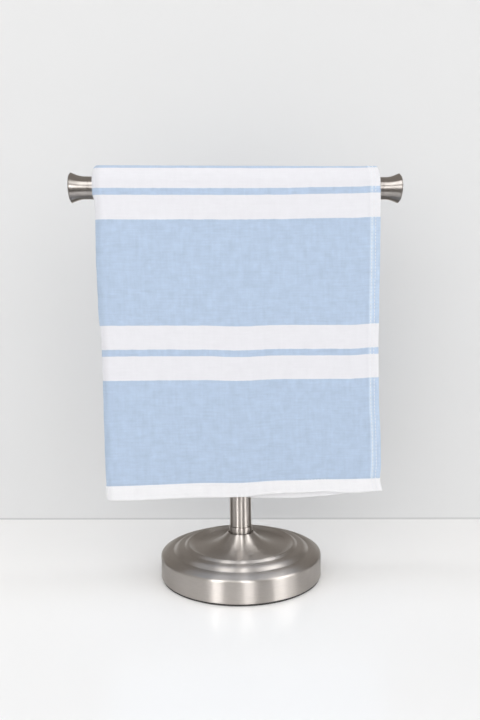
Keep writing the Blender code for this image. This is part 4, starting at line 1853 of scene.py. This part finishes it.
    def front_glow(self, graph: Graph, azimuth: Any, elevation: Any) -> Any:
        """Return what the metal reflects of the room, apart from the wall behind.

        Args:
            graph: The world's graph.
            azimuth: The azimuth looked in, in radians.
            elevation: The height looked at, in radians.

        Returns:
            The colour's output.
        """
        panel_low = 0.0
        panel_high = 0.0
        for item in self.reflectors:
            lower = item.part(graph, azimuth, item.azimuth, item.low)
            upper = item.part(graph, azimuth, item.upper_azimuth, item.high)
            panel_low = graph.math("ADD", panel_low, lower)
            panel_high = graph.math("ADD", panel_high, upper)
        turned = graph.math("ABSOLUTE", azimuth)
        low = self.between(graph, elevation, self.panel_low, self.panel_high)
        broad = self.between(graph, elevation, self.broad_low, self.broad_high)
        near = graph.sweep(turned, self.near_sides, 1.0, 0.0)
        wide = graph.sweep(turned, self.wide_sides, 1.0, 0.0)
        glow = graph.mix(graph.sweep(turned, self.rear_sides), self.room_dark, self.rear_dark)
        glow = graph.mix(graph.math("MULTIPLY", low, near), glow, self.room_glow)
        glow = graph.mix(graph.math("MULTIPLY", broad, wide), glow, self.broad_glow)
        strips = graph.math("MULTIPLY_ADD", panel_high, broad, graph.math("MULTIPLY", panel_low, low))
        return graph.mix(1.0, glow, graph.grey(strips), "ADD")

    def build_world(self) -> None:
        """Make the room: even light, a plain backdrop, and what the metal reflects."""
        world = bpy.data.worlds.new("studio_room")
        world.use_nodes = True
        graph = Graph(world.node_tree)
        x, y, z = graph.parts(graph.node("ShaderNodeTexCoord").outputs["Generated"])
        azimuth = graph.math("ARCTAN2", x, graph.math("MULTIPLY", y, -1.0))
        elevation = graph.math("ARCSINE", z)
        turned = graph.math("ABSOLUTE", azimuth)
        glossy = self.front_glow(graph, azimuth, elevation)
        top = math.radians(self.rear_high)
        bottom = math.radians(self.rear_low)
        rear = graph.sweep(turned, self.rear_wall)
        rear = graph.math("MULTIPLY", rear, graph.step(elevation, top, self.rear_soft, 1.0, 0.0))
        rear = graph.math("MULTIPLY", rear, graph.step(elevation, bottom, self.rear_soft))
        glossy = graph.mix(rear, glossy, self.rear_glow)
        shade = graph.sweep(turned, self.shade_sides)
        shade = graph.math("MULTIPLY", shade, graph.sweep(elevation, self.shade_low))
        floor = graph.ramp(elevation, bottom - self.rear_soft, bottom, 1.0, 0.0)
        floor = graph.math("MULTIPLY", graph.sweep(turned, self.floor_sides), floor)
        glossy = graph.mix(graph.math("MAXIMUM", shade, floor), glossy, self.rear_shade)
        path = graph.node("ShaderNodeLightPath").outputs
        colour = graph.mix(path["Is Glossy Ray"], (self.ambient,) * 3, glossy)
        colour = graph.mix(path["Is Camera Ray"], colour, self.backdrop)
        graph.feed(world.node_tree.nodes["Background"].inputs["Color"], colour)
        bpy.context.scene.world = world

    def build_camera(self) -> None:
        """Add the camera at the photograph's viewpoint."""
        yaw, pitch, roll = (math.radians(angle) for angle in (self.yaw, self.pitch, self.roll))
        level = Vector((math.cos(yaw), -math.sin(yaw), 0.0))
        flat = math.cos(pitch)
        forward = Vector((math.sin(yaw) * flat, math.cos(yaw) * flat, -math.sin(pitch)))
        upright = level.cross(forward)
        right = level * math.cos(roll) + upright * math.sin(roll)
        up = upright * math.cos(roll) - level * math.sin(roll)
        lens = bpy.data.cameras.new("camera")
        lens.sensor_width = 36.0
        lens.lens = lens.sensor_width * self.focal_pixels / max(IMAGE_WIDTH, IMAGE_HEIGHT)
        lens.clip_start = 0.01
        camera = bpy.data.objects.new("camera", lens)
        turn = Matrix((right, up, -forward)).transposed()
        camera.matrix_world = Matrix.Translation(self.camera_place) @ turn.to_4x4()
        bpy.context.scene.collection.objects.link(camera)
        bpy.context.scene.camera = camera

    def build(self) -> None:
        """Build the whole studio."""
        self.build_stage()
        self.build_world()
        for light in self.lights:
            light.build()
        self.build_camera()
        bpy.context.scene.view_settings.view_transform = "Standard"
        LOG.info("studio: table, wall, lights and camera")


def main() -> None:
    """Build every piece in order."""
    logging.basicConfig(level=logging.INFO, format="%(name)s %(message)s")
    grain = turned_grain_group()
    weave = plain_weave_group()
    nickel = BrushedNickel()
    upright = nickel.material("brushed_nickel_upright", grain, GrainAxis.UPRIGHT, 0.0)
    along = nickel.material("brushed_nickel_bar", grain, GrainAxis.ALONG_BAR, bar_axis_height())
    TurnedStand(upright, along, FootRubber().material("foot_rubber")).build()
    DrapedTowel(StripedCotton(), SewingThread()).build(weave)
    Studio().build()


if __name__ == "__main__":
    main()
